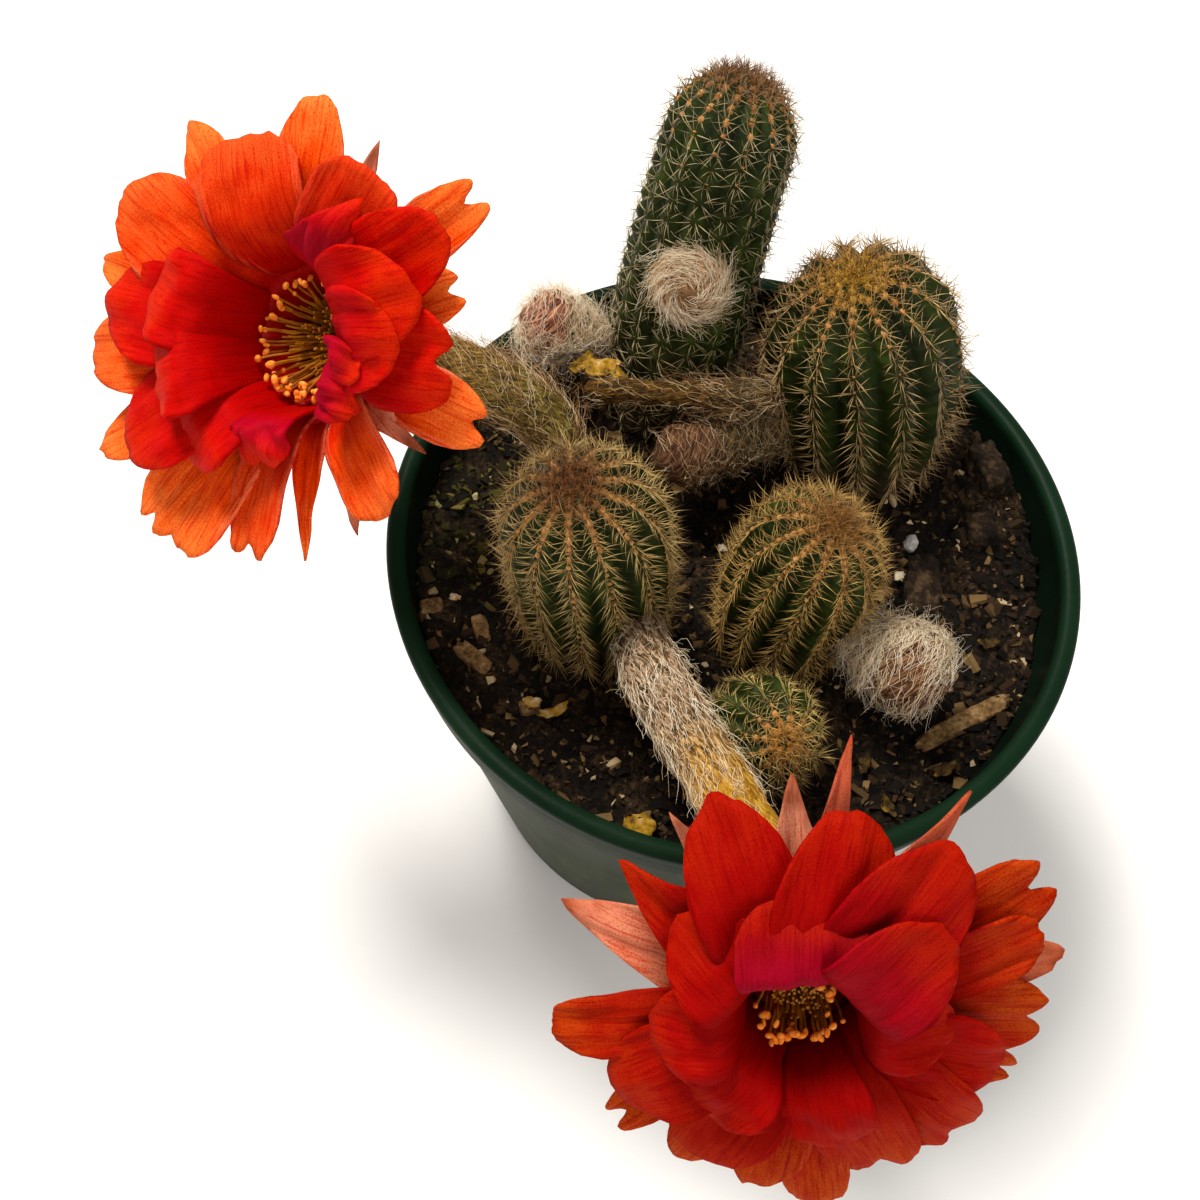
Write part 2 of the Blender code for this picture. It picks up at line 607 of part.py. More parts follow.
def litter_piece(name, collection, grow=0.0):
    """A rough block half bedded in the soil; perlite is a rounded grain."""
    (x, y), size, turn = LITTER[name]
    draw = random.Random(name)
    bm = bmesh.new()
    if name == "perlite":
        bmesh.ops.create_icosphere(bm, subdivisions=1, radius=0.5)
    else:
        bmesh.ops.create_cube(bm, size=1)
        edges = [edge for edge in bm.edges if abs(edge.verts[0].co.x - edge.verts[1].co.x) > 0.5]
        bmesh.ops.subdivide_edges(bm, edges=edges, cuts=1)
    for vertex in bm.verts:
        rough = [1 + draw.uniform(-0.14, 0.14) for _ in range(3)]
        vertex.co = Vector([vertex.co[k] * (size[k] * rough[k] + 2 * grow) for k in range(3)])
    height = soil_height(x, y) + 0.12 * size[2]
    place = Matrix.Translation((x, y, height)) @ Matrix.Rotation(math.radians(turn), 4, "Z")
    bm.transform(place)
    bmesh.ops.triangulate(bm, faces=bm.faces)
    return add_object(name, mesh_of(bm, name), collection)


def main():
    wipe_scene()
    parts = new_collection("potted_peanut_cactus")
    cutters = new_collection("cutters")
    plastic = principled("pot_plastic", (0.05, 0.09, 0.05), 0.4)
    earth = principled("potting_soil", (0.02, 0.014, 0.009), 0.95)
    skin = principled("cactus_skin", (0.03, 0.07, 0.02), 0.6)
    petal_skin = principled("petal_red", (0.65, 0.03, 0.01), 0.5)
    yellow = principled("stamen_yellow", (0.75, 0.35, 0.04), 0.6)
    wool = principled("floral_tube_wool", (0.45, 0.35, 0.18), 0.9)
    bark = principled("bark", (0.07, 0.035, 0.018), 0.9)
    stone = principled("perlite", (0.7, 0.68, 0.62), 0.9)

    make_pot(parts, cutters, plastic)
    soil = make_soil(parts, earth)
    grows_from = {"stem_left": ["flower_left_tube", "flower_front_tube"],
                  "stem_tall": ["bud_tall", "bud_back_left"],
                  "stem_fat": ["bud_middle", "spent_flower"],
                  "stem_right": ["bud_right"], "stem_pup": []}
    for name in STEMS:
        make_stem(name, parts, cutters, skin, grows_from[name])
    for name in ROUTES:
        tube(name, parts).data.materials.append(wool)
    for flower in FLOWERS:
        make_bloom(flower, parts, cutters, petal_skin)
        make_stamens(flower, parts, cutters, yellow)
    for name in LITTER:
        litter_piece(name, parts).data.materials.append(stone if name == "perlite" else bark)
    holes = [stem_body(name, cutters, grow=2 * GAP, ribbed=False, rows=5) for name in STEMS]
    holes += [litter_piece(name, cutters, grow=GAP) for name in LITTER]
    combine(soil, holes, "DIFFERENCE")


main()
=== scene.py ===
# %% [markdown]
# # A potted peanut cactus in flower
# A small nursery pot holds five spiny stems, two wide open red flowers, four woolly buds and
# one dried flower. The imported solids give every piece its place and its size, and this lesson
# dresses them: each solid gets a finer piece of the same form with a material of its own, and
# then come the spines, wool, anthers and crumbs that are too fine for the solids.
# Lengths are written in millimetres, and become Blender's metres when a mesh is made.

import math
import random

import bmesh
import bpy
import numpy as np
from mathutils import Matrix, Vector, noise


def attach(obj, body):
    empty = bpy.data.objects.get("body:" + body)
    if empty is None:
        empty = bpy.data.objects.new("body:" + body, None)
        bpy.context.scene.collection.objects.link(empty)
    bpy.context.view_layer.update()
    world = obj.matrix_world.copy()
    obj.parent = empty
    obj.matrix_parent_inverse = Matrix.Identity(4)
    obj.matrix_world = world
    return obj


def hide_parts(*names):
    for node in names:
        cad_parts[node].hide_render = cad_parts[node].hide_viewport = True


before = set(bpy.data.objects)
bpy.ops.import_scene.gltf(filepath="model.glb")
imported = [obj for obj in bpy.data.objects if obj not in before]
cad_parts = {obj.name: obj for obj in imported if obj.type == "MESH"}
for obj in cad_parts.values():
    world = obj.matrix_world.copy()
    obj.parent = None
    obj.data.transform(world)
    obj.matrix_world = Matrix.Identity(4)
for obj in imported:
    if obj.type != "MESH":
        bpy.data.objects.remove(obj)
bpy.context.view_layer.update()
MM = 0.001

# %% [markdown]
# ## Small helpers
# A paint chart gives colours in sRGB, as hex values, but a renderer adds up light, so it needs
# linear values: one function turns the first into the second. The next adds a node to any tree
# with its settings and links, and the last ones begin and end a material. In every pattern,
# Scale counts the features in a metre: at 1000 there is one in every millimetre.

# %% Colours, nodes and materials
def linear(hex_colour):
    """Linear red, green, blue and alpha of an sRGB hex value."""
    channels = [int(hex_colour[i:i + 2], 16) / 255 for i in (1, 3, 5)]
    return tuple(c / 12.92 if c <= 0.04045 else ((c + 0.055) / 1.055) ** 2.4
                 for c in channels) + (1.0,)


def node(tree, kind, inputs=None, out=0, stops=None, **settings):
    """Add a node with its settings, set or link its inputs, and return one of its outputs."""
    made = tree.nodes.new(kind)
    for label, value in settings.items():
        setattr(made, label, value)
    for index, (place, colour) in enumerate(stops or []):
        elements = made.color_ramp.elements
        element = elements[index] if index < 2 else elements.new(place)
        element.position = place
        element.color = linear(colour)
    for label, value in (inputs or {}).items():
        if isinstance(value, bpy.types.NodeSocket):
            tree.links.new(value, made.inputs[label])
        else:
            made.inputs[label].default_value = value
    return made.outputs[out] if len(made.outputs) else made


def material_of(name, values):
    """A material whose Principled shader starts with these plain values."""
    material = bpy.data.materials.new(name)
    material.use_nodes = True
    shader = material.node_tree.nodes["Principled BSDF"]
    for label, value in values.items():
        shader.inputs[label].default_value = value
    return material, material.node_tree, shader.inputs


def finish_of(tree, shader, colour, height=None, strength=0.0, depth=0.0):
    """Link the last colour into the shader, and a height as relief of a depth in millimetres."""
    tree.links.new(colour, shader["Base Color"])
    if height is not None:
        relief = node(tree, "ShaderNodeBump",
                      {"Height": height, "Strength": strength, "Distance": depth * MM})
        tree.links.new(relief, shader["Normal"])


def grained(name, values, texture, stops, strength=0.0, depth=0.0):
    """A material whose shades, and relief if it has a depth, both follow one noise."""
    material, tree, shader = material_of(name, values)
    place = node(tree, "ShaderNodeTexCoord", out="Object")
    grain = node(tree, "ShaderNodeTexNoise", {"Vector": place, **texture})
    shades = node(tree, "ShaderNodeValToRGB", {"Fac": grain}, stops=stops)
    finish_of(tree, shader, shades, grain if depth else None, strength, depth)
    return material


# %% [markdown]
# Every piece begins as plain points and faces, or as a bmesh, Blender's editable mesh. These
# helpers make an object of either and turn its faces outwards. The last one says on which body
# a finished piece rides and which solids it stands for.

# %% Meshes and pieces
def in_scene(name, data):
    """A new object with this data, linked into the scene."""
    thing = bpy.data.objects.new(name, data)
    bpy.context.scene.collection.objects.link(thing)
    return thing


def grid_faces(rows, columns, around=True):
    """Quads between rows of points; around joins the two ends of every row."""
    faces = []
    for row in range(rows - 1):
        for column in range(columns if around else columns - 1):
            a, b = row * columns + column, row * columns + (column + 1) % columns
            faces.append((a, b, b + columns, a + columns))
    return faces


def mesh_object(name, points, faces, attributes=None, uv=None):
    """Mesh object from points in millimetres, with named point attributes and a UV map."""
    mesh = bpy.data.meshes.new(name)
    mesh.from_pydata((np.asarray(points, float) * MM).tolist(), [], faces)
    for label, values in (attributes or {}).items():
        values = np.asarray(values, np.float32)
        vector = values.ndim == 2
        store = mesh.attributes.new(label, "FLOAT_VECTOR" if vector else "FLOAT", "POINT")
        store.data.foreach_set("vector" if vector else "value", values.ravel())
    if uv is not None:
        corners = np.empty(len(mesh.loops), np.int32)
        mesh.loops.foreach_get("vertex_index", corners)
        layer = mesh.uv_layers.new(name="UVMap")
        layer.data.foreach_set("uv", np.asarray(uv, np.float32)[corners].ravel())
    mesh.shade_smooth()
    return in_scene(name, mesh)


def from_bmesh(name, bm):
    """A smooth object from a finished bmesh, which is freed."""
    mesh = bpy.data.meshes.new(name)
    bm.to_mesh(mesh)
    bm.free()
    mesh.shade_smooth()
    return in_scene(name, mesh)


def turn_faces_out(thing):
    """Merge doubles and make the faces of a closed mesh point outwards."""
    bm = bmesh.new()
    bm.from_mesh(thing.data)
    bmesh.ops.remove_doubles(bm, verts=bm.verts, dist=0.002 * MM)
    bmesh.ops.recalc_face_normals(bm, faces=bm.faces)
    bm.to_mesh(thing.data)
    bm.free()


def settle(thing, slot, *nodes):
    """Make a finished piece ride on the plant's one body, in place of these solids."""
    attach(thing, "root")
    if nodes:
        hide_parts(*nodes)
    triangles = sum(len(face.vertices) - 2 for face in thing.data.polygons)
    print(f"{thing.name}: {triangles} triangles")


# %% [markdown]
# ## Geometry Nodes trees
# Spines, wool, anthers and crumbs repeat by the thousand, so Geometry Nodes make them. Each tree
# is built here, with named inputs for its sizes. A tree could stay live on its object, but the
# exported model needs plain meshes, so the result is taken out and the modifier dropped.

# %% Make a tree and use it
def new_tree(name, sockets):
    """A tree with a geometry going in and out, and named inputs; returns it and its inputs."""
    tree = bpy.data.node_groups.new(name, "GeometryNodeTree")
    tree.interface.new_socket("Geometry", in_out="OUTPUT", socket_type="NodeSocketGeometry")
    tree.interface.new_socket("Geometry", in_out="INPUT", socket_type="NodeSocketGeometry")
    for label, kind in sockets.items():
        tree.interface.new_socket(label, in_out="INPUT", socket_type="NodeSocket" + kind)
    return tree, tree.nodes.new("NodeGroupInput").outputs


def applied(host, modifier):
    """Turn a host into the plain mesh that its modifier makes, and remove the modifier."""
    graph = bpy.context.evaluated_depsgraph_get()
    mesh = bpy.data.meshes.new_from_object(host.evaluated_get(graph))
    host.modifiers.remove(modifier)
    host.data = mesh
    return host


def grown(host, tree_name, values):
    """Run a tree on a host object with these inputs, and keep the plain mesh that comes out."""
    modifier = host.modifiers.new(tree_name, "NODES")
    modifier.node_group = bpy.data.node_groups[tree_name]
    for item in modifier.node_group.interface.items_tree:
        if item.in_out == "INPUT" and item.name in values:
            modifier[item.identifier] = values[item.name]
    return applied(host, modifier)


def end_tree(tree, made, material, second=None, chosen=None):
    """End a tree with plain geometry in one material, and a second where an attribute is set."""
    made = node(tree, "GeometryNodeRealizeInstances", {"Geometry": made})
    made = node(tree, "GeometryNodeSetMaterial", {"Geometry": made, "Material": material})
    if chosen:
        chosen = node(tree, "GeometryNodeInputNamedAttribute", {"Name": chosen}, data_type="FLOAT")
        made = node(tree, "GeometryNodeSetMaterial",
                    {"Geometry": made, "Selection": chosen, "Material": second})
    node(tree, "NodeGroupOutput", {"Geometry": made})


# %% [markdown]
# ## Camera, light and floor
# The plant is seen from above the rim: the camera looks down at about 60 degrees, with a lens
# close to a normal one. It is placed by its three axes, which is exact where turning it by hand
# isn't. A soft lamp above and behind lets light through the petals, and a broader, weaker one
# in front and a pale surround fill the shadows.

# %% Camera
CAMERA_PLACE = Vector((0, -131.346, 275.869)) * MM
CAMERA_RIGHT = Vector((0.96324468, 0.26071012, 0.06472965))
CAMERA_UP = Vector((-0.25790666, 0.8301676, 0.49427311))
CAMERA_AHEAD = Vector((-0.07512554, 0.49280015, -0.8668934))
camera = in_scene("camera", bpy.data.cameras.new("camera"))
turn = Matrix((CAMERA_RIGHT, CAMERA_UP, -CAMERA_AHEAD)).transposed().to_4x4()
camera.matrix_world = Matrix.Translation(CAMERA_PLACE) @ turn
camera.data.sensor_width = 36
camera.data.lens = 46.25
camera.data.clip_start = 0.005
bpy.context.scene.camera = camera
bpy.context.scene.view_settings.view_transform = "Standard"
print("camera:", [round(value, 3) for value in camera.location], camera.data.lens)

# %% Light
world = bpy.data.worlds.new("pale_surround")
world.use_nodes = True
world.node_tree.nodes["Background"].inputs["Color"].default_value = (1, 0.98, 0.94, 1)
world.node_tree.nodes["Background"].inputs["Strength"].default_value = 0.36
bpy.context.scene.world = world
PLANT_MIDDLE = Vector((0, 0, 80)) * MM


def lamp(name, place, size, power):
    """A square soft lamp at a place in metres that looks at the middle of the plant."""
    data = bpy.data.lights.new(name, "AREA")
    data.size = size
    data.energy = power
    data.color = (1.0, 0.96, 0.9)
    thing = in_scene(name, data)
    thing.location = place
    thing.rotation_euler = (PLANT_MIDDLE - thing.location).to_track_quat("-Z", "Y").to_euler()
    return thing


key = lamp("key", (-0.5, 0.35, 1.15), 0.4, 19)
fill = lamp("fill", (0.6, -0.9, 1.0), 0.8, 8)
print("lamps:", key.name, key.data.energy, "W,", fill.name, fill.data.energy, "W")

# %% Floor
FLOOR_HALF = 1500
board = mesh_object("floor", [(x, y, -0.2) for y in (-FLOOR_HALF, FLOOR_HALF)
                              for x in (-FLOOR_HALF, FLOOR_HALF)], [(0, 1, 3, 2)])
board.data.materials.append(grained(
    "matt_painted_board", {"Roughness": 0.85}, {"Scale": 60.0, "Detail": 4.0},
    [(0.0, "#f6f6f5"), (1.0, "#fbfbfb")]))

# %% [markdown]
# ## The pot
# A nursery pot is moulded in one piece of polypropylene, with a rolled lip, a stiff band below
# it and a wall that narrows to the base. A turned profile is the natural way to draw it: one
# line of radius and height, swept round. The drain holes are cut afterwards with a Boolean.

# %% Pot profile
POT_HEIGHT, POT_RIM_RADIUS, POT_BAND_HEIGHT, POT_BAND_RADIUS = 75.0, 54.0, 9.0, 53.0
POT_NECK_RADIUS, POT_BASE_RADIUS, POT_WALL, POT_LIP_WIDTH = 51.4, 37.6, 1.6, 3.0
POT_NECK = POT_HEIGHT - POT_BAND_HEIGHT


def inner_wall(height):
    """Radius of the inside of the pot's wall at a height."""
    slope = (POT_NECK_RADIUS - POT_BASE_RADIUS) / POT_NECK
    return POT_BASE_RADIUS + slope * height - POT_WALL


def turned(name, profile, sides, attributes=None):
    """Closed turned mesh from rows of radius and height that begin and end on the axis."""
    turns = 2 * np.pi * np.arange(sides) / sides
    points = [(max(radius, 0.001) * np.cos(turns), max(radius, 0.001) * np.sin(turns),
               np.full(sides, float(height))) for radius, height in profile]
    points = np.concatenate([np.stack(row, axis=1) for row in points])
    faces = grid_faces(len(profile), sides)
    thing = mesh_object(name, points, faces, attributes)
    turn_faces_out(thing)
    return thing


inner_top = POT_RIM_RADIUS - POT_LIP_WIDTH
lip = [(POT_RIM_RADIUS - 1.5 + 1.5 * math.cos(a), POT_HEIGHT - 1.1 + 1.1 * math.sin(a))
       for a in np.linspace(math.pi * 0.96, 0.0, 9)]
profile = [(0, POT_WALL), (inner_wall(POT_WALL) - 1.5, POT_WALL), (inner_wall(2.4), 2.4)]
profile += [(inner_wall(h), h) for h in np.linspace(8, POT_NECK, 8)]
profile += [(inner_top - 0.3, POT_NECK + 3), (inner_top, POT_HEIGHT - 2.2)] + lip
profile += [(POT_RIM_RADIUS - 0.1, POT_HEIGHT - 2.2), (POT_RIM_RADIUS - 0.5, POT_HEIGHT - 2.7),
            (POT_BAND_RADIUS, POT_HEIGHT - 3.1), (POT_BAND_RADIUS - 0.15, POT_NECK + 3),
            (POT_BAND_RADIUS - 0.4, POT_NECK + 0.4), (POT_BAND_RADIUS - 0.8, POT_NECK),
            (POT_NECK_RADIUS + 0.1, POT_NECK - 0.4), (POT_NECK_RADIUS - 0.1, POT_NECK - 1.4)]
profile += [(POT_BASE_RADIUS + (POT_NECK_RADIUS - POT_BASE_RADIUS) * h / POT_NECK, h)
            for h in np.linspace(POT_NECK - 6, 2.4, 9)]
profile += [(POT_BASE_RADIUS + 0.2, 1.0), (POT_BASE_RADIUS - 0.5, 0.2), (POT_BASE_RADIUS - 1.4, 0),
            (0, 0)]
pot = turned("pot_shell", profile, 180)

# %% Drain holes
DRAIN_HOLES, DRAIN_RADIUS, DRAIN_CIRCLE = 6, 3.5, 29.0
bm = bmesh.new()
for index in range(DRAIN_HOLES):
    angle = 2 * math.pi * index / DRAIN_HOLES
    middle = Matrix.Translation((DRAIN_CIRCLE * math.cos(angle), DRAIN_CIRCLE * math.sin(angle), 0))
    bmesh.ops.create_cone(bm, cap_ends=True, segments=32, radius1=DRAIN_RADIUS,
                          radius2=DRAIN_RADIUS, depth=4 * POT_WALL, matrix=middle)
bmesh.ops.scale(bm, verts=bm.verts, vec=(MM, MM, MM))
punch_mesh = bpy.data.meshes.new("punches")
bm.to_mesh(punch_mesh)
bm.free()
punches = in_scene("punches", punch_mesh)
cut = pot.modifiers.new("Drain holes", "BOOLEAN")
cut.operation, cut.solver, cut.object = "DIFFERENCE", "EXACT", punches
applied(pot, cut)
bpy.data.objects.remove(punches)
print("drain holes:", DRAIN_HOLES, "of", 2 * DRAIN_RADIUS, "mm")

# %% [markdown]
# Moulded polypropylene is a waxy, half-matt plastic. A used pot carries a film of dust and lime
# that takes most of its shine, so the specular level is kept low. Noise stretched down the wall
# draws the run marks of watering. The inside is painted a darker green: partly a deeper green of
# its own, partly painted shade inside the wall.

# %% Moulded polypropylene
plastic, tree, shader = material_of("moulded_polypropylene", {"IOR": 1.49,
                                                              "Specular IOR Level": 0.05})
place = node(tree, "ShaderNodeTexCoord", out="Object")
facing = place.node.outputs["Normal"]
height = node(tree, "ShaderNodeSeparateXYZ", {"Vector": place}, out="Z")
outside = node(tree, "ShaderNodeVectorMath", {0: facing, 1: place}, out="Value",
               operation="DOT_PRODUCT")
outside = node(tree, "ShaderNodeMapRange", {"Value": outside, "From Min": 0.004, "From Max": 0.03})
streaks = node(tree, "ShaderNodeMapping", {"Vector": place, "Scale": (1.0, 1.0, 0.12)})
streaks = node(tree, "ShaderNodeTexNoise", {"Vector": streaks, "Scale": 160.0, "Detail": 6.0,
                                            "Roughness": 0.6})
clouds = node(tree, "ShaderNodeTexNoise", {"Vector": place, "Scale": 45.0, "Detail": 5.0})
wall = node(tree, "ShaderNodeValToRGB", {"Fac": streaks},
            stops=[(0.25, "#1a2210"), (0.5, "#283018"), (0.75, "#3e4428")])
band = node(tree, "ShaderNodeValToRGB", {"Fac": clouds},
            stops=[(0.3, "#081a0e"), (0.55, "#102616"), (0.8, "#203424")])
above = node(tree, "ShaderNodeMapRange", {"Value": height, "From Min": (POT_NECK - 3) * MM,
                                          "From Max": (POT_NECK + 5) * MM})
outer = node(tree, "ShaderNodeMix", {0: above, 6: wall, 7: band}, out=2, data_type="RGBA")
# inside of the wall: its own deeper green together with painted shade
inside_green_and_shade = node(tree, "ShaderNodeValToRGB", {"Fac": clouds},
             stops=[(0.3, "#071009"), (0.7, "#0f1c12")])
lip_top = node(tree, "ShaderNodeMapRange", {"Value": height, "From Min": (POT_HEIGHT - 2.4) * MM,
                                            "From Max": (POT_HEIGHT - 0.8) * MM})
side = node(tree, "ShaderNodeMath", {0: outside, 1: lip_top}, operation="MAXIMUM")
colour = node(tree, "ShaderNodeMix", {0: side, 6: inside_green_and_shade, 7: outer}, out=2, data_type="RGBA")
tree.links.new(node(tree, "ShaderNodeMapRange", {"Value": clouds, "To Min": 0.3, "To Max": 0.55}),
               shader["Roughness"])
peel = node(tree, "ShaderNodeTexNoise", {"Vector": place, "Scale": 900.0, "Detail": 3.0})
finish_of(tree, shader, colour, peel, 0.25, 0.2)
pot.data.materials.clear()
pot.data.materials.append(plastic)
settle(pot, "pot_plastic", "pot")

# %% [markdown]
# ## The soil
# Potting mix is dark, damp and crumbly: peat, bark dust and a few white grains. The bed is a
# turned block whose top takes the same gentle relief as the solid, with finer lumps added. The
# crumbs that make it look real are scattered over the bed with Geometry Nodes.

# %% Soil bed
SOIL_LEVEL = 66.0
SEED = 11


def soil_height(x, y):
    """Height of the soil: nearly level, crumbly, and heaped towards the back right."""
    heap = 4.5 * math.exp(-((x - 36) ** 2 + (y - 28) ** 2) / 260)
    crumbs = 0.5 * math.sin(0.55 * x + 1.3) * math.cos(0.48 * y) + 0.35 * math.sin(0.9 * y + 0.7 * x)
    return SOIL_LEVEL + heap + crumbs


rings, columns = 64, 200
soil_radius = inner_wall(SOIL_LEVEL) - 0.3
points = []
for ring in range(rings + 1):
    radius = max(soil_radius * ring / rings, 0.01)
    for column in range(columns):
        angle = 2 * math.pi * column / columns
        x, y = radius * math.cos(angle), radius * math.sin(angle)
        lumps = noise.fractal(Vector((x, y, 3.0)) * 0.35, 0.9, 2.2, 4) * 0.9
        edge = min(1, (soil_radius - radius) / 4)
        points.append((x, y, soil_height(x, y) + lumps * edge))
for radius, height in ((inner_wall(30) - 0.3, 30.0), (inner_wall(2) - 0.3, 1.9), (0.01, 1.9)):
    for column in range(columns):
        angle = 2 * math.pi * column / columns
        points.append((radius * math.cos(angle), radius * math.sin(angle), height))
soil = mesh_object("soil_bed", points, grid_faces(rings + 4, columns))
turn_faces_out(soil)

# %% [markdown]
# Peat reads as near black with warm brown flecks. Two noises, one with patches of 8 mm and one
# with flecks of 1 mm, are multiplied, so that the flecks show in the pale patches only.

# %% Peat potting mix
peat, tree, shader = material_of("peat_potting_mix", {"Roughness": 0.95,
                                                      "Specular IOR Level": 0.2})
place = node(tree, "ShaderNodeTexCoord", out="Object")
patches = node(tree, "ShaderNodeTexNoise", {"Vector": place, "Scale": 120.0, "Detail": 5.0})
flecks = node(tree, "ShaderNodeTexNoise", {"Vector": place, "Scale": 900.0, "Detail": 6.0,
                                           "Roughness": 0.7})
both = node(tree, "ShaderNodeMath", {0: patches, 1: flecks}, operation="MULTIPLY")
colour = node(tree, "ShaderNodeValToRGB", {"Fac": both},
              stops=[(0.18, "#050302"), (0.26, "#1a1108"), (0.33, "#3a2a18"), (0.44, "#64503a")])
finish_of(tree, shader, colour, flecks, 1.0, 1.2)
soil.data.materials.append(peat)
settle(soil, "potting_soil", "soil")

# %% [markdown]
# What makes soil look real is its loose top: crumbs of peat, bark dust and grit of all sizes.
# They are copied onto points scattered over the top of the bed. A crumb starts as a cube, is
# stretched and turned at random, and noise pulls its corners about, so each one looks broken.
# Its tint picks the shade: mostly near black, some brown and tan, a few cream, and mossy olive
# in the patch where the pot stays wet.

# %% Tree: crumbs
tree, given = new_tree("loose_crumbs", {
    "Density": "Float", "Smallest": "Float", "Largest": "Float", "Seed": "Int",
    "Material": "Material"})
level_there = node(tree, "GeometryNodeInputNormal")
level_there = node(tree, "ShaderNodeSeparateXYZ", {"Vector": level_there}, out="Z")
level_there = node(tree, "ShaderNodeMath", {0: level_there, 1: 0.5}, operation="GREATER_THAN")
thick = node(tree, "ShaderNodeMath", {0: level_there, 1: given["Density"]}, operation="MULTIPLY")
spots = node(tree, "GeometryNodeDistributePointsOnFaces",
             {"Mesh": given["Geometry"], "Density": thick, "Seed": given["Seed"]},
             distribute_method="RANDOM")
chip = node(tree, "GeometryNodeMeshCube", {"Size": (0.8, 0.8, 0.8)})
coarse = node(tree, "FunctionNodeRandomValue", {2: 0.0, 3: 1.0, "Seed": 21}, out=1, data_type="FLOAT")
coarse = node(tree, "ShaderNodeMath", {0: coarse, 1: 4.0}, operation="POWER")
coarse = node(tree, "ShaderNodeMapRange", {"Value": coarse, "To Min": given["Smallest"],
                                           "To Max": given["Largest"]})
stretch = node(tree, "FunctionNodeRandomValue",
               {0: (0.5, 0.4, 0.35), 1: (1.9, 1.0, 0.9), "Seed": 22}, data_type="FLOAT_VECTOR")
stretch = node(tree, "ShaderNodeVectorMath", {0: stretch, "Scale": coarse}, operation="SCALE")
tumble = node(tree, "FunctionNodeRandomValue",
              {0: (-0.6, -0.6, 0.0), 1: (0.6, 0.6, 6.283), "Seed": 23}, data_type="FLOAT_VECTOR")
crumbs = node(tree, "GeometryNodeInstanceOnPoints",
              {"Points": spots, "Instance": chip, "Rotation": tumble, "Scale": stretch})
tint = node(tree, "FunctionNodeRandomValue", {2: 0.0, 3: 1.0, "Seed": 24}, out=1, data_type="FLOAT")
crumbs = node(tree, "GeometryNodeStoreNamedAttribute",
              {"Geometry": crumbs, "Name": "tint", "Value": tint}, data_type="FLOAT", domain="INSTANCE")
crumbs = node(tree, "GeometryNodeRealizeInstances", {"Geometry": crumbs})
where = node(tree, "GeometryNodeInputPosition")
broken = node(tree, "ShaderNodeTexNoise", {"Vector": where, "Scale": 1600.0}, out="Color")
broken = node(tree, "ShaderNodeVectorMath", {0: broken, 1: (0.5, 0.5, 0.5)}, operation="SUBTRACT")
broken = node(tree, "ShaderNodeVectorMath", {0: broken, "Scale": 2.0 * MM}, operation="SCALE")
crumbs = node(tree, "GeometryNodeSetPosition", {"Geometry": crumbs, "Offset": broken})
end_tree(tree, crumbs, given["Material"])

# %% Crumbs of peat and grit
MOSSY_PLACE = (-0.040, -0.004, 0.066)       # where the soil stays wet, in metres
grit, tree, shader = material_of("peat_crumb_and_grit", {"Roughness": 0.95,
                                                         "Specular IOR Level": 0.2})
place = node(tree, "ShaderNodeTexCoord", out="Object")
tint = node(tree, "ShaderNodeAttribute", out="Fac", attribute_name="tint")
heaps = node(tree, "ShaderNodeTexNoise", {"Vector": place, "Scale": 90.0, "Detail": 2.0})
heaps = node(tree, "ShaderNodeMath", {0: heaps, 1: 0.5}, operation="SUBTRACT")
heaped = node(tree, "ShaderNodeMath", {0: heaps, 1: 0.7, 2: tint}, operation="MULTIPLY_ADD")
peaty = node(tree, "ShaderNodeValToRGB", {"Fac": heaped},
             stops=[(0.0, "#080502"), (0.4, "#181008"), (0.7, "#342414"), (0.88, "#584226"),
                    (0.97, "#80663e"), (1.0, "#b8a27c")])
mossy = node(tree, "ShaderNodeValToRGB", {"Fac": tint},
             stops=[(0.0, "#0c0c05"), (0.5, "#24240a"), (0.8, "#44430f"), (0.96, "#746c30"),
                    (1.0, "#b8ac78")])
wet = node(tree, "ShaderNodeVectorMath", {0: place, 1: MOSSY_PLACE}, out="Value",
           operation="DISTANCE")
patches = node(tree, "ShaderNodeTexNoise", {"Vector": place, "Scale": 150.0, "Detail": 3.0})
wet = node(tree, "ShaderNodeMath", {0: patches, 1: -0.02, 2: wet}, operation="MULTIPLY_ADD")
wet = node(tree, "ShaderNodeMapRange", {"Value": wet, "From Min": 0.0, "From Max": 0.008,
                                        "To Min": 0.8, "To Max": 0.0})
colour = node(tree, "ShaderNodeMix", {0: wet, 6: peaty, 7: mossy}, out=2, data_type="RGBA")
finish_of(tree, shader, colour)

# %% Scatter the crumbs
CRUMBS, SMALLEST_CRUMB, LARGEST_CRUMB = 5400, 0.5, 2.2
top_area = math.pi * (soil_radius * MM) ** 2
loose = in_scene("crumbs", soil.data.copy())
grown(loose, "loose_crumbs", {
    "Density": CRUMBS / top_area, "Smallest": SMALLEST_CRUMB * MM,
    "Largest": LARGEST_CRUMB * MM, "Seed": SEED, "Material": grit})
settle(loose, "potting_soil")

# %% [markdown]
# ## The stems
# A peanut cactus stem is a soft, ribbed finger. Seen from above, its section is a wavy circle,
# and along each rib the flesh swells a little under every areole, the felty spot that carries
# the spines. The script lays out a plain round body, row by row, along the stem's centre line.
# A Geometry Nodes tree then presses in the furrows and raises the swellings, so that the number
# of ribs and their depth are two named inputs instead of a fixed mesh.

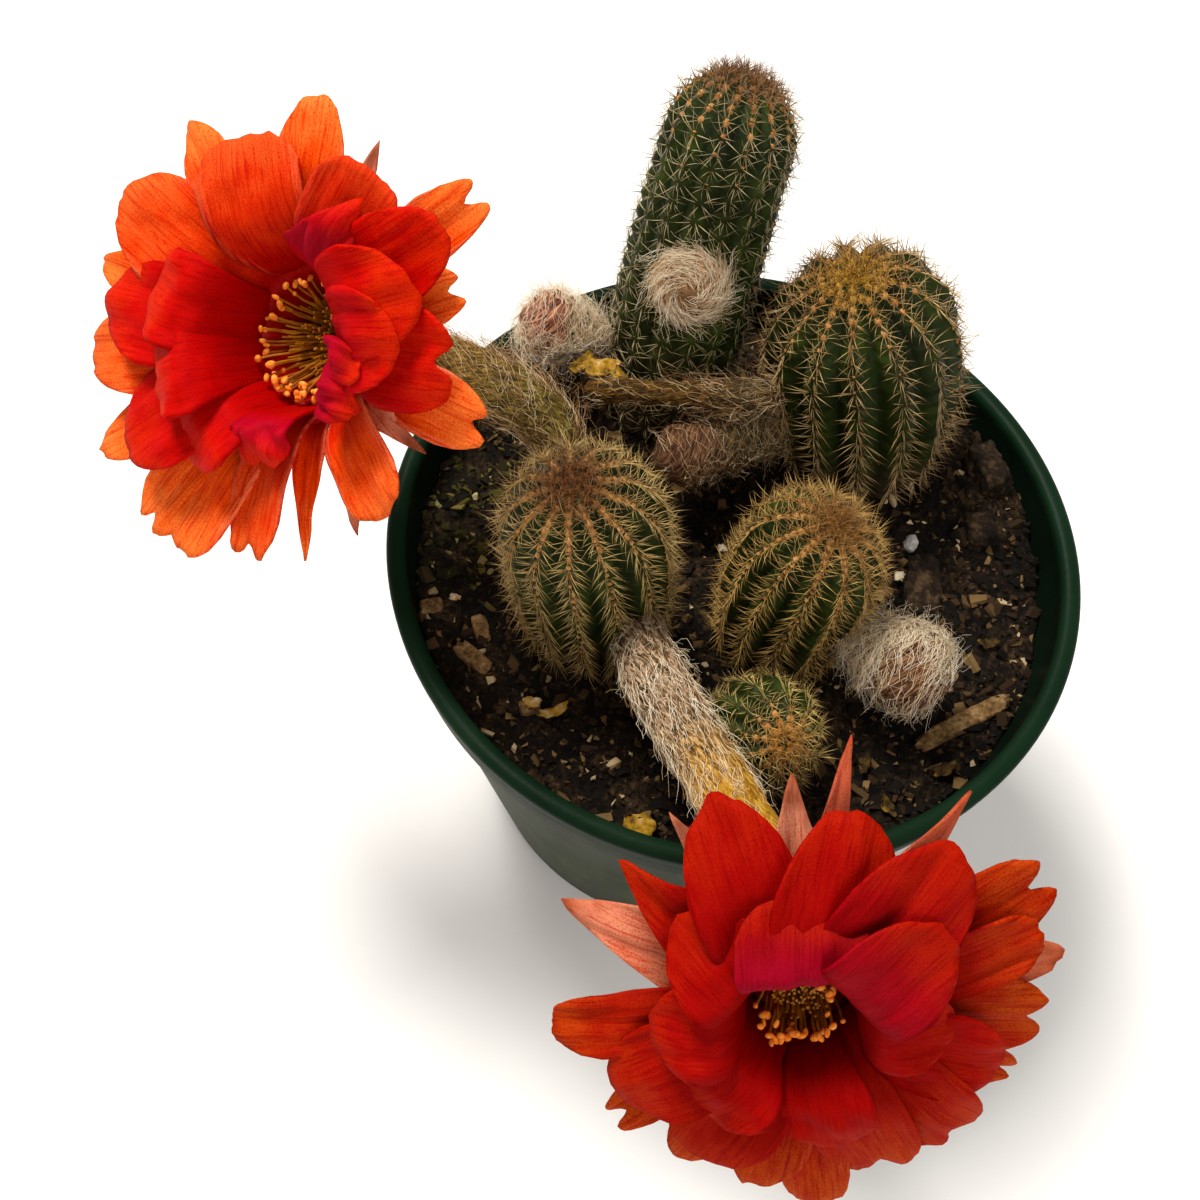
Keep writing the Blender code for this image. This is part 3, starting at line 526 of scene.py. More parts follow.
# %% Sizes of the stems
STEMS = {
    "stem_tall": dict(foot=(-18.5, 30), middle=(-18.5, 34, 96), apex=(-15.5, 47.5, 121.5),
                      radius=11.6, top=0.86, foot_share=0.86, ribs=15, rib_depth=0.9),
    "stem_fat": dict(foot=(15.5, 28.5), middle=(13.5, 29, 88), apex=(6.5, 28, 107),
                     radius=15.0, top=0.98, foot_share=0.72, ribs=13, rib_depth=2.2),
    "stem_left": dict(foot=(-18.0, -15.5), middle=(-19.5, -15.5, 86), apex=(-23.3, -17, 103),
                      radius=12.3, top=0.95, foot_share=0.78, ribs=13, rib_depth=1.9),
    "stem_right": dict(foot=(9.5, -9.5), middle=(10, -9, 84), apex=(12.8, -7.5, 96),
                       radius=11.2, top=0.92, foot_share=0.78, ribs=12, rib_depth=1.7),
    "stem_pup": dict(foot=(9.0, -27.5), middle=(10.5, -30, 72.5), apex=(14.0, -35, 81),
                     radius=9.2, top=0.9, foot_share=0.72, ribs=11, rib_depth=1.2),
}
STEM_BURIED = 6.0
STEM_LEVELS = 76             # rows along a stem
RIB_POINTS = 10              # points across a rib

# How the spines grow: gap between areoles in mm, spines in each and their length in mm, how far
# they lift off the skin, the level below which the star turns to a comb, how much of a comb it
# becomes, and how many areoles crowd on the crown
SPINES = {
    "stem_tall": dict(gap=2.9, count=10, length=3.7, lift=0.3, comb_from=0.0, comb=0.1, crown=26),
    "stem_fat": dict(gap=2.7, count=12, length=4.2, lift=0.5, comb_from=0.5, comb=0.7, crown=18),
    "stem_left": dict(gap=1.8, count=12, length=3.7, lift=0.42, comb_from=0.8, comb=0.8, crown=12),
    "stem_right": dict(gap=1.6, count=13, length=3.5, lift=0.5, comb_from=0.7, comb=0.6, crown=14),
    "stem_pup": dict(gap=2.1, count=13, length=3.2, lift=0.42, comb_from=0.9, comb=0.4, crown=6),
}


def bezier(points, t):
    """Point on the quadratic curve that runs from the first to the last of three points."""
    a, b, c = points
    return a * (1 - t) ** 2 + b * 2 * t * (1 - t) + c * t ** 2


class Stem:
    """The plain round form of a stem, with a frame and a radius at every level."""

    def __init__(self, foot, middle, apex, radius, top, foot_share, ribs, rib_depth):
        self.line = (Vector((*foot, SOIL_LEVEL)), Vector(middle), Vector(apex))
        self.radius, self.top, self.foot_share = radius, top, foot_share
        self.ribs, self.rib_depth = ribs, rib_depth
        steps = [bezier(self.line, i / 20) for i in range(21)]
        self.length = sum((b - a).length for a, b in zip(steps, steps[1:]))
        self.dome = self.radius * top * 1.05
        self.straight = self.length - self.dome
        self.split = self.straight / (self.straight + math.pi / 2 * self.dome)

    def frame(self, share):
        """Middle, side and front directions of the centre line at a share of its length."""
        share = min(max(share, 0.0), 1.0)
        ahead = bezier(self.line, min(share + 0.01, 1)) - bezier(self.line, max(share - 0.01, 0))
        along = ahead.normalized()
        side = Vector((0, 1, 0)).cross(along).normalized()
        return bezier(self.line, share), side, along.cross(side)

    def profile(self, level):
        """Share of the length and plain radius at a level from 0, the soil, to 1, the apex."""
        low = 1 - (1 - self.foot_share) * max(0, 1 - level / 0.45) ** 2
        if level < self.split:
            done = level / self.split
            return (done * self.straight / self.length,
                    self.radius * low * (1 - (1 - self.top) * done))
        angle = self.rise(level)
        share = (self.straight + self.dome * math.sin(angle)) / self.length
        return share, self.radius * self.top * low * math.cos(angle)

    def rise(self, level):
        """Angle by which the surface faces up at a level: none on the sides, 90 degrees on top."""
        return max(0, level - self.split) / (1 - self.split) * math.pi / 2

    def point(self, level, turn, grow=0.0):
        """Point on a rib crest's surface, or grow millimetres off it."""
        share, radius = self.profile(level)
        middle, side, front = self.frame(share)
        out, angle = math.cos(turn) * side + math.sin(turn) * front, self.rise(level)
        along = side.cross(front)
        return middle + radius * out + grow * (math.cos(angle) * out + math.sin(angle) * along)


STEM = {name: Stem(**sizes) for name, sizes in STEMS.items()}
for name, stem in STEM.items():
    print(name, "is", round(stem.length), "mm long and has", stem.ribs, "ribs")

# %% [markdown]
# Areoles sit closer together towards the growing tip. The rows along the stem carry a running
# count of areoles, their phase, so the swellings and the spines read the same number and always
# meet: an areole sits where the phase is whole, or whole and a half on every other rib.

# %% Rows of a stem and its running count of areoles
def stem_rows(name):
    """Level, phase, frame and radius of every row of a stem, from the soil up."""
    stem, spacing = STEM[name], SPINES[name]["gap"]
    levels = np.linspace(0, 0.995, STEM_LEVELS)
    rows, phase, last = [], 0.0, None
    for level in levels:
        share, radius = stem.profile(level)
        middle, side, front = stem.frame(share)
        here = (share * stem.length, radius)
        if last:
            gap = spacing * (1 - 0.5 * max(0, (level - 0.6) / 0.4))
            phase += math.dist(here, last) / gap
        last = here
        rows.append((level, phase, middle, side, front, radius))
    return rows


def plain_stem(name):
    """Round body of a stem with the attributes that the rib tree reads."""
    stem, rows = STEM[name], stem_rows(name)
    around = stem.ribs * RIB_POINTS
    turns = 2 * np.pi * np.arange(around) / around
    foot = rows[0]
    points, attributes = [], {key: [] for key in ("outward", "turn", "width", "phase", "level")}
    for drop in (STEM_BURIED, 3.0):
        middle = foot[2] - Vector((0, 0, drop))
        rows.insert(0 if drop == STEM_BURIED else 1,
                    (0.0, -drop / SPINES[name]["gap"], middle, foot[3], foot[4], foot[5]))
    for level, phase, middle, side, front, radius in rows:
        out = np.outer(np.cos(turns), side) + np.outer(np.sin(turns), front)
        points.append(np.array(middle) + radius * out)
        attributes["outward"].append(out)
        attributes["turn"].append(turns)
        for key, value in (("width", radius * MM), ("phase", phase), ("level", level)):
            attributes[key].append(np.full(around, value))
    points = np.concatenate(points)
    attributes = {key: np.concatenate(values) for key, values in attributes.items()}
    faces = grid_faces(len(rows), around)
    faces.append(tuple(reversed(range(around))))
    last = len(points) - around
    faces += [(last + i, last + (i + 1) % around, len(points)) for i in range(around)]
    apex = rows[-1]
    points = np.concatenate([points, [np.array(stem.point(1.0, 0))]])
    ends = {"outward": [apex[3].cross(apex[4])], "turn": [0.0], "width": [0.0],
            "phase": [apex[1]], "level": [1.0]}
    attributes = {key: np.concatenate([values, ends[key]]) for key, values in attributes.items()}
    return mesh_object("skin_" + name, points, faces, attributes)


# %% Tree: ribs and tubercles
tree, given = new_tree("ribs_and_tubercles", {
    "Ribs": "Int", "Rib depth": "Float", "Stem radius": "Float", "Tubercle height": "Float",
    "Wrinkle height": "Float", "Material": "Material"})
attribute = {label: node(tree, "GeometryNodeInputNamedAttribute", {"Name": label},
                         data_type="FLOAT") for label in ("turn", "width", "phase", "level")}
outward = node(tree, "GeometryNodeInputNamedAttribute", {"Name": "outward"},
               data_type="FLOAT_VECTOR")
lap = node(tree, "ShaderNodeMath", {0: attribute["turn"], 1: given["Ribs"]}, operation="MULTIPLY")
wave = node(tree, "ShaderNodeMath", {0: lap, 1: 0.5}, operation="MULTIPLY")
wave = node(tree, "ShaderNodeMath", {0: wave}, operation="COSINE")
wave = node(tree, "ShaderNodeMath", {0: wave}, operation="ABSOLUTE")
crest = node(tree, "ShaderNodeMath", {0: wave, 1: 0.9}, operation="POWER")
furrow = node(tree, "ShaderNodeMath", {0: 1.0, 1: crest}, operation="SUBTRACT")
half_radius = node(tree, "ShaderNodeMath", {0: given["Stem radius"], 1: 0.5}, operation="MULTIPLY")
room = node(tree, "ShaderNodeMath", {0: attribute["width"], 1: half_radius}, operation="DIVIDE")
room = node(tree, "ShaderNodeMath", {0: room, 1: 1.0}, operation="MINIMUM")
press = node(tree, "ShaderNodeMath", {0: furrow, 1: room}, operation="MULTIPLY")
press = node(tree, "ShaderNodeMath", {0: press, 1: given["Rib depth"]}, operation="MULTIPLY")
rib = node(tree, "ShaderNodeMath", {0: lap, 1: 2 * math.pi}, operation="DIVIDE")
rib = node(tree, "ShaderNodeMath", {0: rib}, operation="ROUND")
odd = node(tree, "ShaderNodeMath", {0: rib, 1: 2.0}, operation="MODULO")
odd = node(tree, "ShaderNodeMath", {0: odd, 1: 0.5}, operation="MULTIPLY")
beat = node(tree, "ShaderNodeMath", {0: attribute["phase"], 1: odd}, operation="SUBTRACT")
beat = node(tree, "ShaderNodeMath", {0: beat, 1: 2 * math.pi}, operation="MULTIPLY")
beat = node(tree, "ShaderNodeMath", {0: beat}, operation="COSINE")
swell = node(tree, "ShaderNodeMath", {0: beat, 1: crest}, operation="MULTIPLY")
swell = node(tree, "ShaderNodeMath", {0: swell, 1: room}, operation="MULTIPLY")
swell = node(tree, "ShaderNodeMath", {0: swell, 1: given["Tubercle height"]}, operation="MULTIPLY")
where = node(tree, "GeometryNodeInputPosition")
wrinkle = node(tree, "ShaderNodeTexNoise", {"Vector": where, "Scale": 260.0, "Detail": 3.0})
wrinkle = node(tree, "ShaderNodeMath", {0: wrinkle, 1: 0.5}, operation="SUBTRACT")
wrinkle = node(tree, "ShaderNodeMath", {0: wrinkle, 1: given["Wrinkle height"]}, operation="MULTIPLY")
lift = node(tree, "ShaderNodeMath", {0: swell, 1: press}, operation="SUBTRACT")
lift = node(tree, "ShaderNodeMath", {0: lift, 1: wrinkle}, operation="ADD")
offset = node(tree, "ShaderNodeVectorMath", {0: outward, "Scale": lift}, operation="SCALE")
shaped = node(tree, "GeometryNodeStoreNamedAttribute",
              {"Geometry": given["Geometry"], "Name": "furrow", "Value": furrow},
              data_type="FLOAT", domain="POINT")
shaped = node(tree, "GeometryNodeSetPosition", {"Geometry": shaped, "Offset": offset})
end_tree(tree, shaped, given["Material"])

# %% [markdown]
# Living cactus skin is a waxy green leather. Its green is painted darker in the furrows, which is
# painted shade, and it turns corky brown low down, most of all where it was scarred. The furrow
# and level attributes that the mesh carries place the shades, and the cells of a Voronoi texture
# dent the skin like pores.

# %% Waxy cactus skin
skin, tree, shader = material_of("waxy_cactus_skin", {"IOR": 1.45, "Specular IOR Level": 0.15})
place = node(tree, "ShaderNodeTexCoord", out="Object")
furrow = node(tree, "ShaderNodeAttribute", out="Fac", attribute_name="furrow")
level = node(tree, "ShaderNodeAttribute", out="Fac", attribute_name="level")
clouds = node(tree, "ShaderNodeTexNoise", {"Vector": place, "Scale": 180.0, "Detail": 5.0})
fresh = node(tree, "ShaderNodeValToRGB", {"Fac": clouds},
             stops=[(0.3, "#161e05"), (0.55, "#28340a"), (0.8, "#445418")])
# deep: the darker green mixed into the furrows, painted shade
deep = node(tree, "ShaderNodeValToRGB", {"Fac": clouds},
            stops=[(0.3, "#0c1403"), (0.7, "#1a2808")])
green_with_furrow_shade = node(tree, "ShaderNodeMix", {0: furrow, 6: fresh, 7: deep}, out=2, data_type="RGBA")
low = node(tree, "ShaderNodeMath", {0: 0.42, 1: level}, operation="SUBTRACT")
scars = node(tree, "ShaderNodeTexNoise", {"Vector": place, "Scale": 90.0, "Detail": 6.0,
                                          "Roughness": 0.65})
low = node(tree, "ShaderNodeMath", {0: low, 1: scars}, operation="MULTIPLY")
low = node(tree, "ShaderNodeMapRange", {"Value": low, "From Min": 0.06, "From Max": 0.22})
colour = node(tree, "ShaderNodeMix", {0: low, 6: green_with_furrow_shade, 7: linear("#3c3222")}, out=2,
              data_type="RGBA")
tree.links.new(node(tree, "ShaderNodeMapRange", {"Value": scars, "To Min": 0.42, "To Max": 0.75}),
               shader["Roughness"])
pores = node(tree, "ShaderNodeTexVoronoi", {"Vector": place, "Scale": 1600.0}, out="Distance")
finish_of(tree, shader, colour, pores, 0.3, 0.2)

# %% Grow the skins
for name, stem in STEM.items():
    body = grown(plain_stem(name), "ribs_and_tubercles", {
        "Ribs": stem.ribs, "Rib depth": stem.rib_depth * MM, "Stem radius": stem.radius * MM,
        "Tubercle height": 0.35 * MM, "Wrinkle height": 0.25 * MM, "Material": skin})
    settle(body, "cactus_skin", name)

# %% [markdown]
# ## Spines and areoles
# Every areole is a small cushion of felt with a dozen spines: most lie nearly flat, in a star on
# the young parts and in a comb on the old ones, and one or two stand up. The script only marks
# the areoles, as loose points that know which way is out and which way is up. The tree copies
# each point once for every spine, works out a direction and puts a thin bent cone there.

# %% Areoles
GOLDEN_ANGLE = 2.39996       # from each areole of the crown to the next, in radians


def areoles(name):
    """Loose points on the rib crests and the crown, with directions and habit of the spines."""
    stem, habit, rows = STEM[name], SPINES[name], stem_rows(name)
    levels, phases = [row[0] for row in rows], [row[1] for row in rows]
    draw = random.Random(name)
    points = []
    stored = {key: [] for key in ("outward", "upward", "comb", "size", "pad", "level", "stand")}

    def mark(level, turn, comb, size, pad, stand):
        root = stem.point(level, turn, -0.15)
        out = (stem.point(level, turn, 1.0) - root).normalized()
        upward = stem.point(min(level + 0.03, 1), turn) - stem.point(level - 0.01, turn)
        upward = (upward - out * upward.dot(out)).normalized()
        points.append(root)
        for key, value in (("outward", out), ("upward", upward), ("comb", comb), ("size", size),
                           ("pad", pad), ("level", level), ("stand", stand)):
            stored[key].append(value)

    for rib in range(stem.ribs):
        turn = 2 * math.pi * rib / stem.ribs
        for count in range(int(phases[-1]) + 1):
            phase = count + 0.5 * (rib % 2)
            level = float(np.interp(phase, phases, levels))
            if phase > phases[-1] - 0.5 or (level > 0.93 and rib % 2):
                continue
            comb = habit["comb"] * min(1, max(0, (habit["comb_from"] + 0.1 - level) / 0.2))
            young = max(0, (level - 0.75) / 0.25)
            size = draw.uniform(0.85, 1.12) * (1 - 0.15 * young)
            mark(level, turn + draw.gauss(0, 0.012), comb, size, 1.1 + 0.6 * young, 0.4 * young)
    for index in range(habit["crown"]):
        reach = math.sqrt((index + 0.5) / habit["crown"])
        mark(1 - 0.11 * reach, index * GOLDEN_ANGLE, 0.0, draw.uniform(0.7, 1.0),
             (0.13 - 0.04 * reach) * stem.radius, 0.7 - 0.4 * reach)
    return mesh_object("spines_" + name, points, [], stored)


# %% Tree: areoles and spines
tree, given = new_tree("areoles_and_spines", {
    "Spines": "Int", "Standing spines": "Int", "Spine length": "Float", "Slimness": "Float",
    "Lift": "Float", "Cushion size": "Float", "Seed": "Int",
    "Spine material": "Material", "Felt material": "Material"})
copies = node(tree, "GeometryNodeDuplicateElements",
              {"Geometry": given["Geometry"], "Amount": given["Spines"]}, domain="POINT")
number = copies.node.outputs["Duplicate Index"]
outward, upward = [node(tree, "GeometryNodeInputNamedAttribute", {"Name": label},
                        data_type="FLOAT_VECTOR") for label in ("outward", "upward")]
comb, size, stand, pad = [node(tree, "GeometryNodeInputNamedAttribute", {"Name": label},
                               data_type="FLOAT") for label in ("comb", "size", "stand", "pad")]
sideways = node(tree, "ShaderNodeVectorMath", {0: upward, 1: outward}, operation="CROSS_PRODUCT")
jitter = node(tree, "FunctionNodeRandomValue", {2: -0.8, 3: 0.8, "Seed": given["Seed"]},
              out=1, data_type="FLOAT")
angle = node(tree, "ShaderNodeMath", {0: number, 1: jitter}, operation="ADD")
angle = node(tree, "ShaderNodeMath", {0: angle, 1: given["Spines"]}, operation="DIVIDE")
angle = node(tree, "ShaderNodeMath", {0: angle, 1: 2 * math.pi}, operation="MULTIPLY")
across = node(tree, "ShaderNodeMath", {0: angle}, operation="COSINE")
along = node(tree, "ShaderNodeMath", {0: angle}, operation="SINE")
squeeze = node(tree, "ShaderNodeMapRange", {"Value": comb, "To Min": 1.0, "To Max": 0.35})
along = node(tree, "ShaderNodeMath", {0: along, 1: squeeze}, operation="MULTIPLY")
hang = node(tree, "ShaderNodeMath", {0: comb, 1: 0.45}, operation="MULTIPLY")
along = node(tree, "ShaderNodeMath", {0: along, 1: hang}, operation="SUBTRACT")
flat = node(tree, "ShaderNodeVectorMath", {0: sideways, "Scale": across}, operation="SCALE")
flat_up = node(tree, "ShaderNodeVectorMath", {0: upward, "Scale": along}, operation="SCALE")
flat = node(tree, "ShaderNodeVectorMath", {0: flat, 1: flat_up}, operation="ADD")
stands = node(tree, "ShaderNodeMath", {0: number, 1: given["Standing spines"]}, operation="LESS_THAN")
loose = node(tree, "FunctionNodeRandomValue", {2: 0.6, 3: 1.4, "Seed": 5}, out=1, data_type="FLOAT")
lift = node(tree, "ShaderNodeMath", {0: given["Lift"], 1: loose}, operation="MULTIPLY")
lift = node(tree, "ShaderNodeMath", {0: stands, 1: 1.8, 2: lift}, operation="MULTIPLY_ADD")
lift = node(tree, "ShaderNodeMath", {0: stand, 1: 1.5, 2: lift}, operation="MULTIPLY_ADD")
raised = node(tree, "ShaderNodeVectorMath", {0: outward, "Scale": lift}, operation="SCALE")
way = node(tree, "ShaderNodeVectorMath", {0: flat, 1: raised}, operation="ADD")
rotation = node(tree, "FunctionNodeAlignRotationToVector", {"Vector": way}, axis="Z")
long = node(tree, "FunctionNodeRandomValue", {2: 0.65, 3: 1.25, "Seed": 9}, out=1, data_type="FLOAT")
long = node(tree, "ShaderNodeMath", {0: long, 1: size}, operation="MULTIPLY")
long = node(tree, "ShaderNodeMath", {0: long, 1: given["Spine length"]}, operation="MULTIPLY")
cone = node(tree, "GeometryNodeMeshCone",
            {"Vertices": 3, "Side Segments": 2, "Radius Top": 0.0,
             "Radius Bottom": given["Slimness"], "Depth": 1.0}, fill_type="NGON")
where = node(tree, "GeometryNodeInputPosition")
rise = node(tree, "ShaderNodeSeparateXYZ", {"Vector": where}, out="Z")
bow = node(tree, "ShaderNodeMath", {0: rise, 1: rise}, operation="MULTIPLY")
bow = node(tree, "ShaderNodeMath", {0: bow, 1: 0.16}, operation="MULTIPLY")
bow = node(tree, "ShaderNodeCombineXYZ", {"X": bow})
cone = node(tree, "GeometryNodeStoreNamedAttribute",
            {"Geometry": cone, "Name": "share", "Value": rise}, data_type="FLOAT", domain="POINT")
cone = node(tree, "GeometryNodeSetPosition", {"Geometry": cone, "Offset": bow})
spines = node(tree, "GeometryNodeInstanceOnPoints",
              {"Points": copies, "Instance": cone, "Rotation": rotation, "Scale": long})
tint = node(tree, "FunctionNodeRandomValue", {2: 0.0, 3: 1.0, "Seed": 3}, out=1, data_type="FLOAT")
spines = node(tree, "GeometryNodeStoreNamedAttribute",
              {"Geometry": spines, "Name": "tint", "Value": tint}, data_type="FLOAT", domain="INSTANCE")
button = node(tree, "GeometryNodeMeshUVSphere", {"Segments": 6, "Rings": 4, "Radius": 1.0})
flatten = node(tree, "ShaderNodeVectorMath", {0: where, 1: (1.0, 1.25, 0.6)}, operation="MULTIPLY")
button = node(tree, "GeometryNodeSetPosition", {"Geometry": button, "Position": flatten})
tilt = node(tree, "FunctionNodeAlignRotationToVector", {"Vector": outward}, axis="Z")
tilt = node(tree, "FunctionNodeAlignRotationToVector",
            {"Rotation": tilt, "Vector": upward}, axis="Y", pivot_axis="Z")
broad = node(tree, "ShaderNodeMath", {0: pad, 1: given["Cushion size"]}, operation="MULTIPLY")
buttons = node(tree, "GeometryNodeInstanceOnPoints",
               {"Points": given["Geometry"], "Instance": button, "Rotation": tilt,
                "Scale": broad})
buttons = node(tree, "GeometryNodeStoreNamedAttribute",
               {"Geometry": buttons, "Name": "felty", "Value": 1.0}, data_type="FLOAT", domain="INSTANCE")
joined = tree.nodes.new("GeometryNodeJoinGeometry")
for part in (spines, buttons):
    tree.links.new(part, joined.inputs["Geometry"])
whole = node(tree, "GeometryNodeRealizeInstances", {"Geometry": joined.outputs["Geometry"]})
whole = node(tree, "GeometryNodeSetShadeSmooth", {"Geometry": whole})
end_tree(tree, whole, given["Spine material"], given["Felt material"], "felty")

# %% [markdown]
# A spine is dry horn: brown where it leaves the felt, straw yellow along its length and brown
# again at the very tip, with a dull gloss. The share attribute runs from root to tip, and tint
# differs from spine to spine. Each stem has its own straw, and a darker shade on its crown,
# where the spines are young. Areole felt is short brown wool, so it has no gloss at all.

# %% Horny spines and areole felt
HORN = {
    "stem_tall": ("#6a4a28", "#d4ceac", "#b0a880", "#3c2008", "#a87440", "#2c1204"),
    "stem_fat": ("#64401c", "#dcc494", "#9c7440", "#5c3c0c", "#d4a43c", "#4e300c"),
    "stem_left": ("#60401c", "#dcc488", "#b49858", "#361804", "#8c5220", "#361804"),
    "stem_right": ("#6a4820", "#dcbc74", "#b4904c", "#4a2c0c", "#b07c34", "#522e0c"),
    "stem_pup": ("#7a5428", "#f0dc94", "#d0b464", "#8a5018", "#e4c070", "#b07c30"),
}


def horn(name):
    """Horny spines in the shades of one stem: root, middle and tip, then those of the crown."""
    shades = HORN[name]
    material, tree, shader = material_of("horny_spine_" + name, {"Roughness": 0.5, "IOR": 1.5})
    share, tint, level = [node(tree, "ShaderNodeAttribute", out="Fac", attribute_name=label)
                          for label in ("share", "tint", "level")]
    old = node(tree, "ShaderNodeValToRGB", {"Fac": share},
               stops=[(0.0, shades[0]), (0.4, shades[1]), (1.0, shades[2])])
    young = node(tree, "ShaderNodeValToRGB", {"Fac": share},
                 stops=[(0.0, shades[3]), (0.5, shades[4]), (1.0, shades[5])])
    crown = node(tree, "ShaderNodeMapRange", {"Value": level, "From Min": 0.8, "From Max": 0.95})
    colour = node(tree, "ShaderNodeMix", {0: crown, 6: old, 7: young}, out=2, data_type="RGBA")
    warm = node(tree, "ShaderNodeValToRGB", {"Fac": tint},
                stops=[(0.0, "#9c8c78"), (0.5, "#ece0cc"), (1.0, "#fff4d8")])
    colour = node(tree, "ShaderNodeMix", {0: 1.0, 6: colour, 7: warm}, out=2, data_type="RGBA",
                  blend_type="MULTIPLY")
    finish_of(tree, shader, colour)
    return material


CROWN_FELT = {"stem_tall": "#583820", "stem_fat": "#b89030", "stem_left": "#502c0c",
              "stem_right": "#6c4a20", "stem_pup": "#a86c20"}


def felt(name):
    """Felt of the areoles of one stem: tan along the ribs, in its own shade on the crown."""
    material, tree, shader = material_of("areole_felt_" + name, {"Roughness": 1.0,
                                                                 "Specular IOR Level": 0.1})
    place = node(tree, "ShaderNodeTexCoord", out="Object")
    level = node(tree, "ShaderNodeAttribute", out="Fac", attribute_name="level")
    grain = node(tree, "ShaderNodeTexNoise", {"Vector": place, "Scale": 900.0, "Detail": 4.0})
    tan = node(tree, "ShaderNodeValToRGB", {"Fac": grain},
               stops=[(0.3, "#7a5228"), (0.5, "#b07c44"), (0.7, "#d0a068")])
    crown = node(tree, "ShaderNodeMapRange", {"Value": level, "From Min": 0.84, "From Max": 0.94,
                                              "To Max": 0.85})
    colour = node(tree, "ShaderNodeMix", {0: crown, 6: tan, 7: linear(CROWN_FELT[name])}, out=2,
                  data_type="RGBA")
    finish_of(tree, shader, colour, grain, 0.8, 0.3)
    return material


# %% Grow the spines
SPINE_SLIMNESS = 0.023       # radius of a spine's root, as a share of the spine's length
CUSHION_SIZE = 0.5
for name in STEM:
    habit = SPINES[name]
    spiny = grown(areoles(name), "areoles_and_spines", {
        "Spines": habit["count"], "Standing spines": 1, "Spine length": habit["length"] * MM,
        "Slimness": SPINE_SLIMNESS, "Lift": habit["lift"], "Cushion size": CUSHION_SIZE * MM,
        "Seed": SEED, "Spine material": horn(name), "Felt material": felt(name)})
    settle(spiny, "cactus_skin")

# %% [markdown]
# ## The flowers
# Each flower is a funnel that ends in many overlapping petals. A petal is a long sheet that
# leaves the throat steeply and then bends outwards. The rows below give, for every petal, the
# direction, reach, width, height of the bend and of the tip, and the form of its end. A grid
# of points is bent along that curve, and then gets cupped, creased and ragged like real tissue.

# %% Places of the flowers and their petals
FLOWERS = {
    "flower_left": dict(throat=(-62.7, -9.3, 109.6), faces=(-0.341, -0.674, 0.655),
                        side=(0.908, -0.057, 0.414), ember=0.0, mouth=(8.6, -4.5)),
    "flower_front": dict(throat=(21.7, -70.7, 89.3), faces=(0.039, -0.729, 0.684),
                         side=(0.973, 0.183, 0.139), ember=1.0, mouth=(6.4, -3.5)),
}
PETAL_LEAN = 0.2
PETALS = {
    "flower_left": [
        (82, 32, 10, 3, 3, "round"), (122, 35, 8, 2, 2, "round"), (101, 27, 15, 7, 6, "blunt"),
        (142, 33, 15, 6, 6, "round"), (162, 36, 8, 3, 4, "round"), (170, 30, 14, 9, 8, "round"),
        (183, 36, 13, 5, 6, "round"), (159, 20, 13, 12, 10, "blunt"), (204, 39, 9, 2, 5, "round"),
        (210, 30, 14, 9, 9, "round"), (194, 19, 14, 13, 11, "notch"), (225, 38, 11, 3, 6, "notch"),
        (236, 35, 12, 4, 6, "blunt"), (218, 34, 5, 1, 2, "point"), (226, 22, 14, 11, 9, "round"),
        (257, 31, 10, 6, 6, "notch"), (271, 30, 6, 2, 3, "point"), (289, 28, 5, 1, 2, "point"),
        (307, 28, 11, 5, 7, "blunt"), (268, 17, 11, 12, 9, "notch"), (340, 33, 10, 3, 5, "notch"),
        (322, 24, 6, 1, 2, "point"), (354, 29, 14, 9, 8, "notch"), (13, 29, 8, 4, 6, "notch"),
        (32, 35, 8, 3, 3, "notch"), (26, 31, 12, 9, 9, "round"), (62, 29, 5, 1, 1, "point"),
        (50, 27, 13, 8, 8, "blunt"), (46, 24, 11, 12, 10, "point"), (14, 26, 14, 14, 12, "round"),
        (0, 23, 13, 13, 12, "round"), (338, 18, 11, 13, 11, "notch"),
    ],
    "flower_front": [
        (112, 30, 13, 12, 6, "round"), (79, 28, 14, 13, 7, "round"), (54, 29, 15, 12, 8, "round"),
        (94, 28, 8, 1, 0, "point"), (82, 34, 5, 2, 1, "point"), (55, 33, 6, 2, 1, "point"),
        (126, 28, 6, 1, 0, "point"), (140, 29, 11, 8, 6, "point"), (160, 32, 11, 3, 2, "point"),
        (190, 31, 8, 6, 4, "blunt"), (209, 26, 13, 8, 6, "round"), (222, 32, 7, 1, 0, "notch"),
        (240, 30, 8, 2, 1, "round"), (239, 25, 14, 8, 5, "round"), (261, 30, 11, 2, 0, "round"),
        (276, 32, 9, 2, 1, "blunt"), (296, 27, 13, 6, 3, "notch"), (320, 27, 14, 7, 4, "notch"),
        (337, 30, 7, 0, -1, "notch"), (358, 30, 12, 4, 2, "notch"), (13, 32, 8, 2, 1, "round"),
        (32, 34, 11, 5, 3, "notch"), (22, 30, 9, 7, 5, "blunt"), (347, 25, 13, 9, 6, "round"),
        (92, 18, 15, 14, 11, "blunt"), (42, 22, 14, 14, 11, "round"), (138, 20, 13, 13, 9, "round"),
        (286, 18, 12, 10, 8, "round"), (228, 18, 12, 11, 8, "round"), (182, 18, 12, 12, 10, "round"),
        (5, 18, 12, 12, 10, "round"),
    ],
}
print("petals:", {flower: len(rows) for flower, rows in PETALS.items()})


def flower_frame(name):
    """Matrix from a flower's own frame, throat at the origin and facing +Z, to the plant."""
    flower = FLOWERS[name]
    faces = Vector(flower["faces"]).normalized()
    side = Vector(flower["side"])
    side = (side - faces * side.dot(faces)).normalized()
    placed = Matrix((side, faces.cross(side), faces)).transposed().to_4x4()
    return Matrix.Translation(flower["throat"]) @ placed


# %% One petal as a bent sheet
PETAL_ROWS, PETAL_COLUMNS = 26, 19
